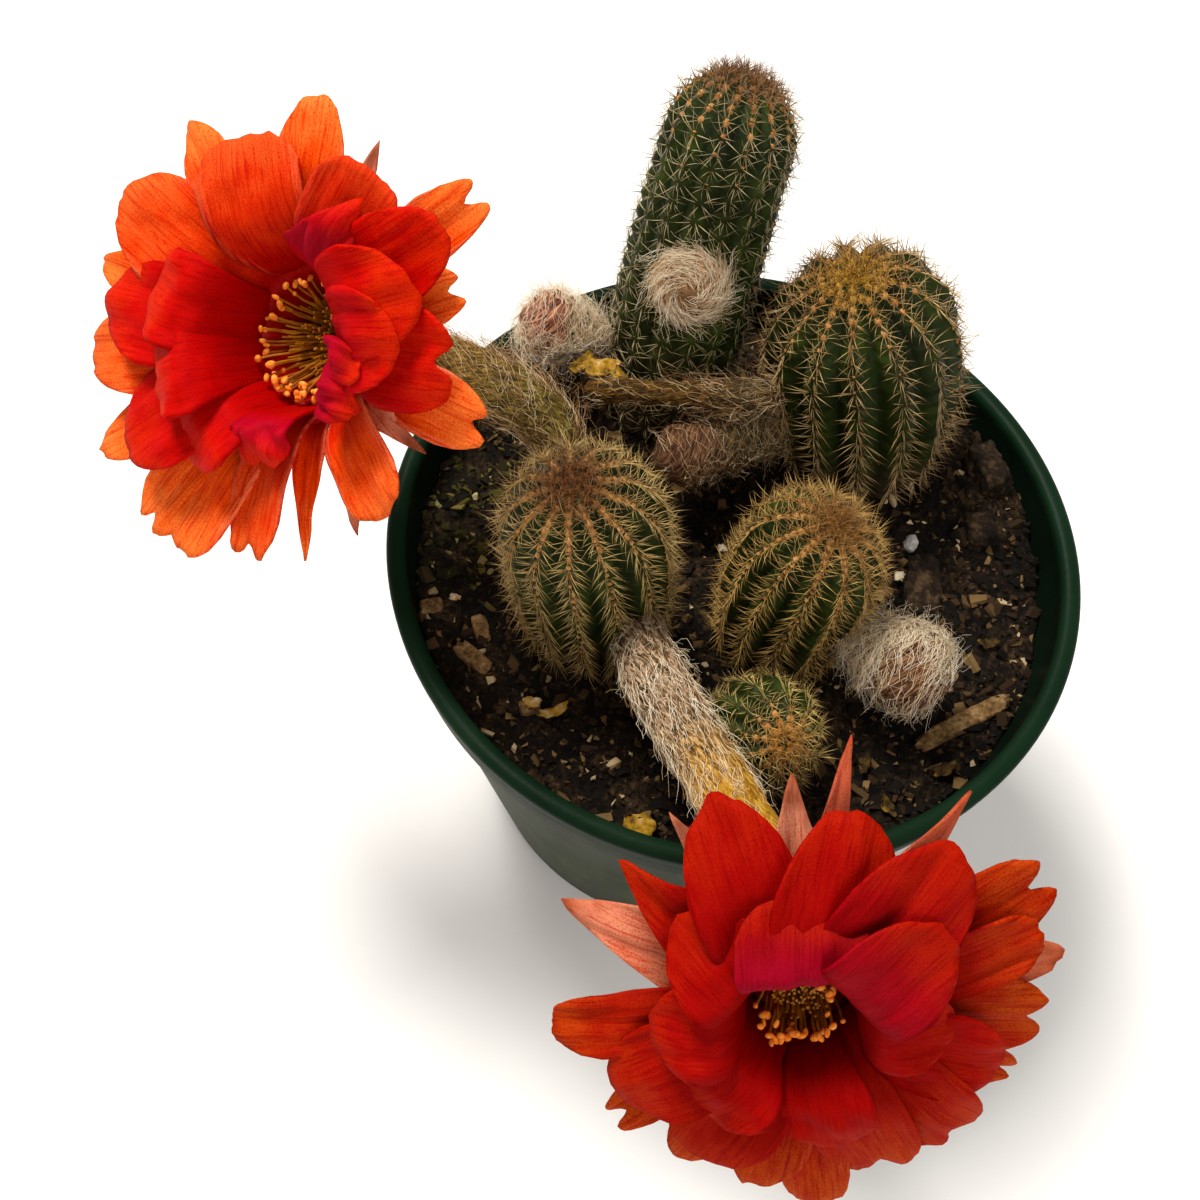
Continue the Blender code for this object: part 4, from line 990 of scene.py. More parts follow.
# For every form of end: the root's share of the width, where the petal is widest, how far the
# corners fall back from the tip, and how round that fall is
ENDS = {"point": (0.3, 0.5, 0.5, 1.25), "round": (0.42, 0.66, 0.32, 2.0),
        "blunt": (0.46, 0.7, 0.2, 2.8), "notch": (0.42, 0.68, 0.26, 2.4)}
# Petals that are crumpled and carry a painted magenta sheen where they bend, by their directions, and how
# much of it
CRUMPLED_AND_SHEEN = {"flower_left": {338: 1.0, 268: 0.7, 46: 0.8, 0: 0.25},
            "flower_front": {92: 0.8, 54: 0.15, 42: 0.4}}
# Outermost ones that are pink sepals, by their directions, and how much of a sepal each one is
SEPALS = {"flower_left": {62: 1.0, 218: 1.0, 289: 1.0, 322: 1.0},
          "flower_front": {13: 0.5, 55: 0.3, 82: 0.3, 94: 1.0, 126: 1.0, 160: 0.7}}


def petal_sheet(petal, flower):
    """Points of a petal, its map in millimetres, and the attributes for its material."""
    azimuth, reach, width, bend, rise, end = petal
    root_share, widest, fall, power = ENDS[end]
    crumpled_and_sheen = CRUMPLED_AND_SHEEN[flower].get(azimuth, 0.0)
    draw = random.Random(f"{flower} {azimuth} {reach}")
    shift = draw.uniform(0, 40)
    rows, across = np.meshgrid(np.linspace(0, 1, PETAL_ROWS), np.linspace(-1, 1, PETAL_COLUMNS),
                               indexing="ij")
    side = np.abs(across)
    if end == "point":
        back = fall * side ** power
    else:
        back = fall * (1 - np.sqrt(1 - 0.97 * side ** power))
    if end == "notch":
        back = back + 0.08 * np.exp(-(across / 0.24) ** 2)
    rag = [0.03 * noise.noise(Vector((a * 2.2 + shift, 2.1, 0.3)))
           + 0.008 * noise.noise(Vector((a * 9 + shift, 5.1, 0.3))) for a in across[0]]
    along = rows * (1 - back - np.abs(rag))
    mouth, depth = FLOWERS[flower]["mouth"]
    root = mouth + 0.1 * (14 - bend)
    # In the front flower, the innermost petals stand up before they bend
    steep = FLOWERS[flower]["ember"] * min(1, max(0, (bend - 10) / 4))
    line = [(root, depth), (root + 1.2 - 2.2 * steep, bend * (1 + 0.35 * steep)),
            ((0.62 - 0.17 * steep) * reach, bend + 0.5 + 0.8 * steep), (reach, rise)]
    weights = ((1 - along) ** 3, 3 * along * (1 - along) ** 2, 3 * along ** 2 * (1 - along),
               along ** 3)
    out = sum(w * p[0] for w, p in zip(weights, line))
    height = sum(w * p[1] for w, p in zip(weights, line))
    swell = np.sin(np.minimum(along / widest, 1) * np.pi / 2) ** 1.2
    half = width / 2 * (root_share + (1 - root_share) * swell)
    cup = half * (0.1 * side ** 2 * (1 - 0.8 * along) + PETAL_LEAN * across)
    height = height + cup
    late, broad = np.clip(along * 1.6 - 0.2, 0, 1), np.clip(half / 5, 0, 1)
    folded = crumpled_and_sheen * (1 - FLOWERS[flower]["ember"])
    # Waves, creases and pleats: how often they come across and along the petal, their slice of
    # the noise, their height in millimetres, and the part of the petal that has them
    for over, lengthwise, layer, high, place in ((1.6, 4.5, 7.7, 1.1 + 1.5 * folded, late),
                                                 (4.5, 1.1, 3.3, 0.45 + 1.0 * folded, broad),
                                                 (11, 2.0, 9.1, 0.1 + 0.4 * folded, broad)):
        folds = [[noise.noise(Vector((a * over + shift, b * lengthwise, layer)))
                  for a, b in zip(row_a, row_b)] for row_a, row_b in zip(across, along)]
        height = height + high * np.array(folds) * place
    height = height - 0.3 * np.exp(-(across / 0.16) ** 2) * (1 - along)
    height = height + draw.uniform(-1.6, 0.8) * np.clip((along - 0.7) / 0.3, 0, 1) ** 2
    turn = math.radians(azimuth)
    x, y = out, half * across
    points = np.stack([x * math.cos(turn) - y * math.sin(turn),
                       x * math.sin(turn) + y * math.cos(turn), height], axis=-1).reshape(-1, 3)
    size = reach - root + max(bend, 0)
    chart = np.stack([half * across, along * size], axis=-1).reshape(-1, 2)
    same_all_over = {"outer": np.clip((8.8 - bend) / 5, 0, 1), "shift": shift,
                     "crumpled_and_sheen": crumpled_and_sheen, "sepal": SEPALS[flower].get(azimuth, 0.0),
                     "ember": FLOWERS[flower]["ember"]}
    attributes = {"share": along.ravel(), "edge": side.ravel()}
    for key, value in same_all_over.items():
        attributes[key] = np.full(along.size, value)
    return points, chart, attributes


# %% All petals of a flower on their funnel
FUNNEL = [(0, -10.6), (2.0, -10.6), (3.7, -10.4), (5.4, -7.8), (7.2, -4.8), (8.4, -2.6), (9.0, -1.3),
          (9.8, -0.9), (11.4, -1.0), (12.1, -1.8), (12.0, -2.8), (11.2, -4.6), (10.0, -7.0),
          (8.2, -10.4), (6.4, -13.4), (5.2, -14.9), (4.4, -15.0), (0, -15.0)]
FUNNEL_SIDES = 48
FUNNEL_INNER_ROWS = 9        # rows of the inside and the lip; the rest turn from red to husk
HUSK_TOP, HUSK_RUN = -1.8, 11
PETAL_THICKNESS = 0.4


def bloom(flower):
    """The thin petals of a flower as one object."""
    placed = flower_frame(flower)
    turn, shift = np.array(placed.to_3x3()), np.array(placed.translation)
    points, faces, chart = [], [], []
    stored = {key: [] for key in ("share", "edge", "outer", "shift", "crumpled_and_sheen", "sepal", "ember")}
    quads = grid_faces(PETAL_ROWS, PETAL_COLUMNS, around=False)
    for petal in PETALS[flower]:
        sheet, drawn, attributes = petal_sheet(petal, flower)
        first = sum(len(part) for part in points)
        points.append(sheet @ turn.T + shift)
        chart.append(drawn)
        faces += [tuple(first + corner for corner in quad) for quad in quads]
        for key, values in attributes.items():
            stored[key].append(values)
    thing = mesh_object("petals_" + flower, np.concatenate(points), faces,
                        {key: np.concatenate(values) for key, values in stored.items()},
                        np.concatenate(chart))
    solid = thing.modifiers.new("Solidify", "SOLIDIFY")
    solid.thickness, solid.offset = PETAL_THICKNESS * MM, 0
    return applied(thing, solid)


def throat(flower):
    """The funnel that the petals stand on, seen inside as the flower's throat."""
    sides, inner_rows = FUNNEL_SIDES, FUNNEL_INNER_ROWS
    red = np.repeat([min(1, max(0, (radius - 5.5) / 2)) for radius, _ in FUNNEL], sides)
    husk = [min(1, (HUSK_TOP - height) / HUSK_RUN) for _, height in FUNNEL[inner_rows:]]
    husk = np.repeat([0.0] * inner_rows + husk, sides)
    ribs = [(8 * math.cos(turn), 8 * math.sin(turn), 0.2 * height)
            for _, height in FUNNEL for turn in 2 * np.pi * np.arange(sides) / sides]
    thing = turned("throat_" + flower, FUNNEL, sides, {"red": red, "husk": husk, "ribs": ribs})
    placed = flower_frame(flower)
    placed.translation *= MM
    thing.data.transform(placed)
    return thing


# %% [markdown]
# Petal tissue is thin, moist and coloured all through, so light goes in on one side and comes
# out on the other. The inner petals are a deep blood red, the outer ones turn orange and end in
# salmon, and the narrow sepals behind them are pink and tan. The front flower has darkened, so
# it has ramps of its own. Every petal carries fine lengthwise veins, a grain of cells and broad
# blotches: noises on the petal's own map in millimetres, one stretched along it, one with a
# quarter of a millimetre between its grains and one with over four millimetres.

# %% Petal tissue
tissue, tree, shader = material_of("petal_tissue", {
    "Roughness": 0.6, "IOR": 1.4, "Specular IOR Level": 0.05, "Subsurface Weight": 0.1,
    "Subsurface Radius": (1.0, 0.2, 0.05), "Subsurface Scale": 0.0012})
chart = node(tree, "ShaderNodeUVMap", uv_map="UVMap")
share, outer, shift, edge, crumpled_and_sheen, sepal, ember = [
    node(tree, "ShaderNodeAttribute", out="Fac", attribute_name=label)
    for label in ("share", "outer", "shift", "edge", "crumpled_and_sheen", "sepal", "ember")]
own = node(tree, "ShaderNodeCombineXYZ", {"X": shift, "Y": shift})
own = node(tree, "ShaderNodeVectorMath", {0: chart, 1: own}, operation="ADD")
long_lines = node(tree, "ShaderNodeMapping", {"Vector": own, "Scale": (2.4, 0.16, 1.0)})
veins = node(tree, "ShaderNodeTexNoise", {"Vector": long_lines, "Scale": 1.0, "Detail": 6.0,
                                          "Roughness": 0.7, "Distortion": 0.6})
cells = node(tree, "ShaderNodeTexNoise", {"Vector": own, "Scale": 4.0, "Detail": 3.0,
                                          "Roughness": 0.7})
blotch = node(tree, "ShaderNodeTexNoise", {"Vector": own, "Scale": 0.22, "Detail": 4.0})
reach = share
for texture, strength in ((veins, 0.45), (cells, 0.3), (blotch, 0.7)):
    swing = node(tree, "ShaderNodeMath", {0: texture, 1: 0.5}, operation="SUBTRACT")
    reach = node(tree, "ShaderNodeMath", {0: swing, 1: strength, 2: reach},
                 operation="MULTIPLY_ADD")
ramps = [node(tree, "ShaderNodeValToRGB", {"Fac": reach}, stops=stops) for stops in (
    [(0.1, "#a00000"), (0.45, "#b40000"), (0.75, "#c40600"), (1.0, "#d02400")],
    [(0.15, "#b40a00"), (0.4, "#d42a00"), (0.7, "#f45004"), (1.0, "#ff7c30")],
    [(0.1, "#880000"), (0.45, "#940000"), (0.75, "#9c0400"), (1.0, "#a81800")],
    [(0.15, "#8c0000"), (0.45, "#9a0c00"), (0.75, "#aa2400"), (1.0, "#ba480a")],
    [(0.1, "#b82c0c"), (0.45, "#dc6c40"), (0.8, "#eca07c"), (1.0, "#a05838")])]
inner_red, outer_red, inner_ember, outer_ember, pink = ramps
fresh = node(tree, "ShaderNodeMix", {0: outer, 6: inner_red, 7: outer_red}, out=2,
             data_type="RGBA")
darkened = node(tree, "ShaderNodeMix", {0: outer, 6: inner_ember, 7: outer_ember}, out=2,
                data_type="RGBA")
colour = node(tree, "ShaderNodeMix", {0: ember, 6: fresh, 7: darkened}, out=2, data_type="RGBA")
rim = node(tree, "ShaderNodeMath", {0: edge, 1: veins}, operation="ADD")
rim = node(tree, "ShaderNodeMapRange", {"Value": rim, "From Min": 1.3, "From Max": 1.65})
pale = node(tree, "ShaderNodeMath", {0: ember, 1: -0.85, 2: outer}, operation="MULTIPLY_ADD",
            use_clamp=True)
rim = node(tree, "ShaderNodeMath", {0: rim, 1: pale}, operation="MULTIPLY")
colour = node(tree, "ShaderNodeMix", {0: rim, 6: colour, 7: linear("#ff8258")}, out=2,
              data_type="RGBA")
colour = node(tree, "ShaderNodeMix", {0: sepal, 6: colour, 7: pink}, out=2, data_type="RGBA")
# crest: the band round the bend of the chosen petals that takes a painted magenta sheen
crest = node(tree, "ShaderNodeValToRGB", {"Fac": share},
             stops=[(0.3, "#000000"), (0.48, "#ffffff"), (0.66, "#ffffff"), (0.9, "#404040")])
mottle = node(tree, "ShaderNodeMapRange", {"Value": cells, "From Min": 0.35, "From Max": 0.6})
crest = node(tree, "ShaderNodeMath", {0: crest, 1: mottle}, operation="MULTIPLY")
crest = node(tree, "ShaderNodeMath", {0: crest, 1: crumpled_and_sheen}, operation="MULTIPLY")
colour = node(tree, "ShaderNodeMix", {0: crest, 6: colour, 7: linear("#94002e")}, out=2,
              data_type="RGBA")
for texture, dark in ((veins, "#e4a4a4"), (cells, "#e0b4b4")):
    lines = node(tree, "ShaderNodeValToRGB", {"Fac": texture},
                 stops=[(0.36, dark), (0.5, "#ffffff")])
    colour = node(tree, "ShaderNodeMix", {0: 1.0, 6: colour, 7: lines}, out=2, data_type="RGBA",
                  blend_type="MULTIPLY")
relief = node(tree, "ShaderNodeMath", {0: cells, 1: 0.25, 2: veins}, operation="MULTIPLY_ADD")
finish_of(tree, shader, colour, relief, 0.45, 0.3)

throat_flesh, tree, shader = material_of("throat_flesh", {
    "Roughness": 0.5, "IOR": 1.4, "Specular IOR Level": 0.2})
place = node(tree, "ShaderNodeTexCoord", out="Object")
red = node(tree, "ShaderNodeAttribute", out="Fac", attribute_name="red")
clouds = node(tree, "ShaderNodeTexNoise", {"Vector": place, "Scale": 300.0, "Detail": 4.0})
deep = node(tree, "ShaderNodeValToRGB", {"Fac": clouds},
            stops=[(0.3, "#3a1404"), (0.6, "#6a2806"), (0.85, "#8a3004")])
flush = node(tree, "ShaderNodeValToRGB", {"Fac": clouds},
             stops=[(0.3, "#980000"), (0.6, "#b80000"), (0.85, "#c40800")])
colour = node(tree, "ShaderNodeMix", {0: red, 6: deep, 7: flush}, out=2, data_type="RGBA")
# Outside, the red runs out into the tan and green of the tube, with ridges along the funnel.
husk = node(tree, "ShaderNodeAttribute", out="Fac", attribute_name="husk")
ribs = node(tree, "ShaderNodeAttribute", out="Vector", attribute_name="ribs")
ridges = node(tree, "ShaderNodeTexNoise", {"Vector": ribs, "Scale": 0.9, "Detail": 5.0,
                                           "Roughness": 0.65, "Distortion": 0.5})
dry = node(tree, "ShaderNodeValToRGB", {"Fac": ridges},
           stops=[(0.36, "#4a1408"), (0.5, "#a04a1c"), (0.64, "#7c7028")])
uneven = node(tree, "ShaderNodeMath", {0: ridges, 1: 0.8, 2: husk}, operation="MULTIPLY_ADD")
uneven = node(tree, "ShaderNodeMapRange", {"Value": uneven, "From Min": 0.6, "From Max": 1.2})
colour = node(tree, "ShaderNodeMix", {0: uneven, 6: colour, 7: dry}, out=2, data_type="RGBA")
finish_of(tree, shader, colour, ridges, 0.6, 0.6)

# %% Grow the petals
for flower in FLOWERS:
    petals = bloom(flower)
    petals.data.materials.append(tissue)
    settle(petals, "petal_red", flower + "_petals")
    funnel = throat(flower)
    funnel.data.materials.append(throat_flesh)
    settle(funnel, "petal_red")

# %% [markdown]
# ## Stamens
# In the throat stands a ring of thin amber filaments, each with a grain-like anther full of
# yellow pollen. The script scatters where the anthers are and where their filaments begin; the
# tree spans a bowed thread between the two and puts an anther on it.

# %% Places of the anthers
# For each flower: how many anthers, the radii of their ring, how closely they gather in its
# lower half, in degrees, and how high they stand; petals nearly close the front flower's throat
ANTHERS = {"flower_left": (84, 6.2, 8.6, 60, 0.0), "flower_front": (34, 3.4, 5.8, 35, 4.5)}
BARE_THREADS = 190


def anther_points(flower):
    """Loose points in the throat: anthers in a ring, and the ends of bare threads inside it."""
    placed = flower_frame(flower)
    count, ring_inside, ring_outside, spread, raised = ANTHERS[flower]
    draw = random.Random(flower)
    points, roots, bare = [], [], []
    for index in range(count + BARE_THREADS):
        inside = index >= count
        gathered = index % 2 == 0 and not inside
        azimuth = math.radians(draw.gauss(265, spread) if gathered else draw.uniform(0, 360))
        if inside:
            reach, height = ring_inside * math.sqrt(draw.random()), draw.uniform(-4.2, -1.6)
        else:
            reach, height = draw.uniform(ring_inside, ring_outside), draw.uniform(-1.2, 1.8)
        height += raised
        root_reach = draw.uniform(0.4, 3.4)
        points.append(placed @ Vector((reach * math.cos(azimuth), reach * math.sin(azimuth), height)))
        roots.append(placed @ Vector((root_reach * math.cos(azimuth),
                                      root_reach * math.sin(azimuth), draw.uniform(-10, -8.5))))
        bare.append(float(inside))
    return mesh_object("stamens_" + flower, points, [], {"root": np.array(roots) * MM,
                                                          "bare": bare})


# %% Tree: filaments and anthers
tree, given = new_tree("filaments_and_anthers", {
    "Filament radius": "Float", "Anther size": "Float", "Bow": "Float",
    "Filament material": "Material", "Anther material": "Material"})
root = node(tree, "GeometryNodeInputNamedAttribute", {"Name": "root"}, data_type="FLOAT_VECTOR")
where = node(tree, "GeometryNodeInputPosition")
span = node(tree, "ShaderNodeVectorMath", {0: where, 1: root}, operation="SUBTRACT")
points = node(tree, "GeometryNodeStoreNamedAttribute",
              {"Geometry": given["Geometry"], "Name": "span", "Value": span},
              data_type="FLOAT_VECTOR", domain="POINT")
start = node(tree, "GeometryNodeSetPosition", {"Geometry": points, "Position": root})
thread = node(tree, "GeometryNodeCurvePrimitiveLine", {"End": (0.0, 0.0, 1.0)})
thread = node(tree, "GeometryNodeResampleCurve", {"Curve": thread, "Count": 7})
held = node(tree, "GeometryNodeInputNamedAttribute", {"Name": "span"}, data_type="FLOAT_VECTOR")
held_length = node(tree, "ShaderNodeVectorMath", {0: held}, out="Value", operation="LENGTH")
held_turn = node(tree, "FunctionNodeAlignRotationToVector", {"Vector": held}, axis="Z")
held_size = node(tree, "ShaderNodeCombineXYZ", {"X": 1.0, "Y": 1.0, "Z": held_length})
threads = node(tree, "GeometryNodeInstanceOnPoints",
               {"Points": start, "Instance": thread, "Rotation": held_turn, "Scale": held_size})
threads = node(tree, "GeometryNodeRealizeInstances", {"Geometry": threads})
way_along = node(tree, "GeometryNodeSplineParameter", out="Factor")
way_back = node(tree, "ShaderNodeMath", {0: 1.0, 1: way_along}, operation="SUBTRACT")
belly = node(tree, "ShaderNodeMath", {0: way_along, 1: way_back}, operation="MULTIPLY")
belly = node(tree, "ShaderNodeMath", {0: belly, 1: given["Bow"]}, operation="MULTIPLY")
drift = node(tree, "ShaderNodeTexNoise", {"Vector": where, "Scale": 350.0}, out="Color")
drift = node(tree, "ShaderNodeVectorMath", {0: drift, 1: (0.5, 0.5, 0.5)}, operation="SUBTRACT")
drift = node(tree, "ShaderNodeVectorMath", {0: drift, "Scale": belly}, operation="SCALE")
threads = node(tree, "GeometryNodeSetPosition", {"Geometry": threads, "Offset": drift})
ring = node(tree, "GeometryNodeCurvePrimitiveCircle",
            {"Resolution": 4, "Radius": given["Filament radius"]})
threads = node(tree, "GeometryNodeCurveToMesh",
               {"Curve": threads, "Profile Curve": ring, "Fill Caps": True})
grain = node(tree, "GeometryNodeMeshUVSphere", {"Segments": 8, "Rings": 5, "Radius": 1.0})
slim = node(tree, "ShaderNodeVectorMath", {0: where, 1: (0.62, 0.62, 1.0)}, operation="MULTIPLY")
grain = node(tree, "GeometryNodeSetPosition", {"Geometry": grain, "Position": slim})
tumble = node(tree, "FunctionNodeRandomValue",
              {0: (-1.2, -1.2, -1.2), 1: (1.2, 1.2, 1.2), "Seed": 4}, data_type="FLOAT_VECTOR")
some = node(tree, "FunctionNodeRandomValue", {2: 0.7, 3: 1.2, "Seed": 8}, out=1, data_type="FLOAT")
some = node(tree, "ShaderNodeMath", {0: some, 1: given["Anther size"]}, operation="MULTIPLY")
bare = node(tree, "GeometryNodeInputNamedAttribute", {"Name": "bare"}, data_type="FLOAT")
tipped = node(tree, "ShaderNodeMath", {0: 1.0, 1: bare}, operation="SUBTRACT")
grains = node(tree, "GeometryNodeInstanceOnPoints",
              {"Points": given["Geometry"], "Selection": tipped, "Instance": grain,
               "Rotation": tumble, "Scale": some})
grains = node(tree, "GeometryNodeStoreNamedAttribute",
              {"Geometry": grains, "Name": "grainy", "Value": 1.0}, data_type="FLOAT", domain="INSTANCE")
joined = tree.nodes.new("GeometryNodeJoinGeometry")
for part in (threads, grains):
    tree.links.new(part, joined.inputs["Geometry"])
whole = node(tree, "GeometryNodeRealizeInstances", {"Geometry": joined.outputs["Geometry"]})
whole = node(tree, "GeometryNodeSetShadeSmooth", {"Geometry": whole})
end_tree(tree, whole, given["Filament material"], given["Anther material"], "grainy")

# %% Filament and pollen
filament = grained("amber_filament", {"Roughness": 0.45, "IOR": 1.4},
                   {"Scale": 500.0, "Detail": 3.0},
                   [(0.3, "#8a4206"), (0.55, "#b4700c"), (0.8, "#d08a1c")])
pollen = grained("pollen_grain", {"Roughness": 0.8, "Specular IOR Level": 0.2},
                 {"Scale": 1500.0, "Detail": 4.0},
                 [(0.3, "#e86a10"), (0.55, "#fc9430"), (0.8, "#ffbe70")], 0.6, 0.2)

# %% Grow the stamens
FILAMENT_RADIUS, ANTHER_SIZE, FILAMENT_BOW = 0.2, 0.72, 7.0
for flower in FLOWERS:
    stamens = grown(anther_points(flower), "filaments_and_anthers", {
        "Filament radius": FILAMENT_RADIUS * MM, "Anther size": ANTHER_SIZE * MM,
        "Bow": FILAMENT_BOW * MM,
        "Filament material": filament, "Anther material": pollen})
    settle(stamens, "stamen_yellow", flower + "_stamens")

# %% [markdown]
# ## Floral tubes, buds and the spent flower
# They are all tapering tubes along a curved route, with woolly hair on them. The body is swept
# along the same smooth route as its solid. Hair is grown by a Geometry Nodes tree: points are
# scattered on the body, each gets a short line that leans the way the wool is brushed, noise
# tangles the lines, and a three-sided profile gives them their thickness.

# %% Routes
ROUTES = {
    "flower_left_tube": [((-26.0, -6.0, 90), 3.6), ((-31, -2.0, 95), 4.4), ((-37.5, -1.0, 98), 4.8),
                         ((-45.0, -0.2, 99.0), 4.8), ((-52.5, 1.0, 99.2), 4.4),
                         ((-58.2, 0.2, 100.8), 3.4)],
    "flower_front_tube": [((-11.0, -20.5, 78), 3.8), ((-7.5, -29.0, 82), 4.9),
                          ((-1.5, -37.0, 84), 4.7), ((6.5, -45.5, 84.8), 4.8),
                          ((13.5, -53.0, 83.0), 5.2), ((18.5, -58.0, 80.8), 4.4),
                          ((21.2, -61.1, 80.3), 3.2)],
    "bud_tall": [((-17.5, 34.5, 95), 3.0), ((-17.0, 31.0, 97), 4.6), ((-16.7, 27.5, 98.5), 5.9),
                 ((-16.5, 24.5, 99.5), 5.4), ((-16.4, 22.3, 100.5), 2.6)],
    "bud_back_left": [((-28.5, 29.5, 77), 2.6), ((-32.5, 28.5, 79), 3.8), ((-36.5, 27.6, 80), 5.9),
                      ((-40.0, 26.8, 81), 5.6), ((-43.0, 26.2, 82), 2.8)],
    "bud_middle": [((3.0, 21.5, 78), 3.6), ((-2.0, 17.0, 78.5), 4.4), ((-8.5, 12.0, 79), 4.4),
                   ((-12.5, 9.0, 79), 4.9), ((-15.5, 6.8, 79), 2.4)],
    "bud_right": [((19.5, -12.5, 76.5), 3.2), ((23.0, -13.8, 76.8), 4.4), ((27.0, -15.2, 77), 6.4),
                  ((31.5, -16.8, 77.2), 6.6), ((35.5, -18.2, 77.4), 3.0)],
    "spent_flower": [((2.5, 20.5, 87.5), 3.0), ((-4.5, 17.5, 87), 3.4), ((-13, 16.5, 85.5), 2.9),
                     ((-21, 16.5, 83), 2.6), ((-27, 17.0, 80), 3.2), ((-29.5, 17.0, 78), 2.2)],
}
ROUTE_STEPS, TUBE_SIDES = 12, 40


def smooth_route(name):
    """Points and radii along a route, on a smooth curve through its own points."""
    route = [(Vector(place), radius) for place, radius in ROUTES[name]]
    ends = [(2 * route[0][0] - route[1][0], route[0][1])] + route
    ends.append((2 * route[-1][0] - route[-2][0], route[-1][1]))
    result = []
    for i in range(1, len(ends) - 2):
        for step in range(ROUTE_STEPS):
            t = step / ROUTE_STEPS
            weights = (-t ** 3 + 2 * t ** 2 - t, 3 * t ** 3 - 5 * t ** 2 + 2,
                       -3 * t ** 3 + 4 * t ** 2 + t, t ** 3 - t ** 2)
            place = sum((w * ends[i - 1 + k][0] for k, w in enumerate(weights)), Vector()) / 2
            radius = sum(w * ends[i - 1 + k][1] for k, w in enumerate(weights)) / 2
            result.append((place, radius))
    return result + [route[-1]]


# Wool on each: how many hairs, their length, how strongly they follow the tube and swirl round
# it, their curl, how flat they cling, how many fly loose, the tone of the hair, how much of the
# solid's radius is left for the body, and how far the strands of the body are twisted
WOOL = {
    "flower_left_tube": dict(hairs=1100, length=7.0, brush=0.8, swirl=0.8, curl=13.0, cling=0.85,
                             fly=0.8, tone=0.5, girth=0.9, twist=0.1),
    "flower_front_tube": dict(hairs=1700, length=5.0, brush=0.9, swirl=0.4, curl=8.0, cling=0.85,
                              fly=0.7, tone=0.9, girth=0.9, twist=0.05),
    "bud_tall": dict(hairs=1600, length=7.0, brush=0.2, swirl=1.4, curl=7.0, cling=0.85, fly=0.7,
                     tone=0.9, girth=0.88, twist=0.3),
    "bud_back_left": dict(hairs=1300, length=7.0, brush=0.3, swirl=1.2, curl=9.0, cling=0.8,
                          fly=1.0, tone=1.0, girth=0.9, twist=0.3),
    "bud_middle": dict(hairs=1000, length=6.0, brush=0.3, swirl=1.4, curl=7.0, cling=0.85, fly=0.7,
                       tone=0.55, girth=0.95, twist=0.3),
    "bud_right": dict(hairs=1900, length=7.5, brush=0.2, swirl=1.8, curl=7.0, cling=0.88, fly=0.6,
                      tone=1.0, girth=0.95, twist=0.3),
    "spent_flower": dict(hairs=600, length=5.5, brush=0.6, swirl=0.5, curl=12.0, cling=0.75, fly=0.8,
                         tone=0.5, girth=0.68, twist=0.1),
}
OPEN_ENDED = ("flower_left_tube", "flower_front_tube")
BALD_SIDE = Vector((-0.1, -0.62, 0.78))  # the wool is thin on the upper front of two of the buds


def swept(name):
    """Rounded body along a route with a knobbly skin, and the way its wool is brushed."""
    route, habit = smooth_route(name), WOOL[name]
    count = len(route)
    turns = 2 * np.pi * np.arange(TUBE_SIDES) / TUBE_SIDES
    side, walked = None, 0.0
    points, stored = [], {key: [] for key in ("brushed", "strand", "share", "woolly")}
    for i, (middle, radius) in enumerate(route):
        ahead = (route[min(i + 1, count - 1)][0] - route[max(i - 1, 0)][0]).normalized()
        walked += (middle - route[max(i - 1, 0)][0]).length
        if side is None:
            side = ahead.cross(Vector((0, 0, 1))).normalized()
        side = (side - ahead * side.dot(ahead)).normalized()
        front = ahead.cross(side)
        share = i / (count - 1)
        close = 1.0 if name in OPEN_ENDED else min(1.0, (1 - share) / 0.2)
        girth = radius * habit["girth"] * math.sqrt(max(1 - (1 - close) ** 2, 0.02))
        for turn in turns:
            out = side * math.cos(turn) + front * math.sin(turn)
            round_it = front * math.cos(turn) - side * math.sin(turn)
            rough = noise.fractal((middle + out * radius) * 0.45, 0.8, 2.1, 3)
            knobs = 0.3 if name == "spent_flower" else 0.1
            points.append(middle + out * girth * (1 + knobs * rough))
            swirl = habit["swirl"] * (0.4 + share)
            stored["brushed"].append(ahead * habit["brush"] + round_it * swirl)
            wound = turn + habit["twist"] * walked
            stored["strand"].append((4 * math.cos(wound), 4 * math.sin(wound), 0.3 * walked))
            stored["share"].append(share)
            stored["woolly"].append(wool_share(name, share, out))
    faces = grid_faces(count, TUBE_SIDES)
    faces.append(tuple(reversed(range(TUBE_SIDES))))
    faces.append(tuple(range(len(points) - TUBE_SIDES, len(points))))
    thing = mesh_object("body_" + name, points, faces, stored)
    turn_faces_out(thing)
    return thing


def wool_share(name, share, out):
    """How densely the wool stands at a share of the route: bare where the skin shows."""
    if name == "flower_front_tube":
        if share > 0.52:
            return 0.4 if abs(out.x) > 0.8 else 0.08
        return 0.2 if share < 0.12 else 1.0
    if name == "spent_flower":
        return 1.0 if share < 0.35 else 0.3
    if name == "bud_middle":
        return 0.2 if share > 0.78 or (share > 0.35 and out.z > 0.45) else 1.2
    if name in ("bud_back_left", "bud_right"):
        return 0.2 if share > 0.4 and out.dot(BALD_SIDE) > 0.6 else 1.3
    return 1.0


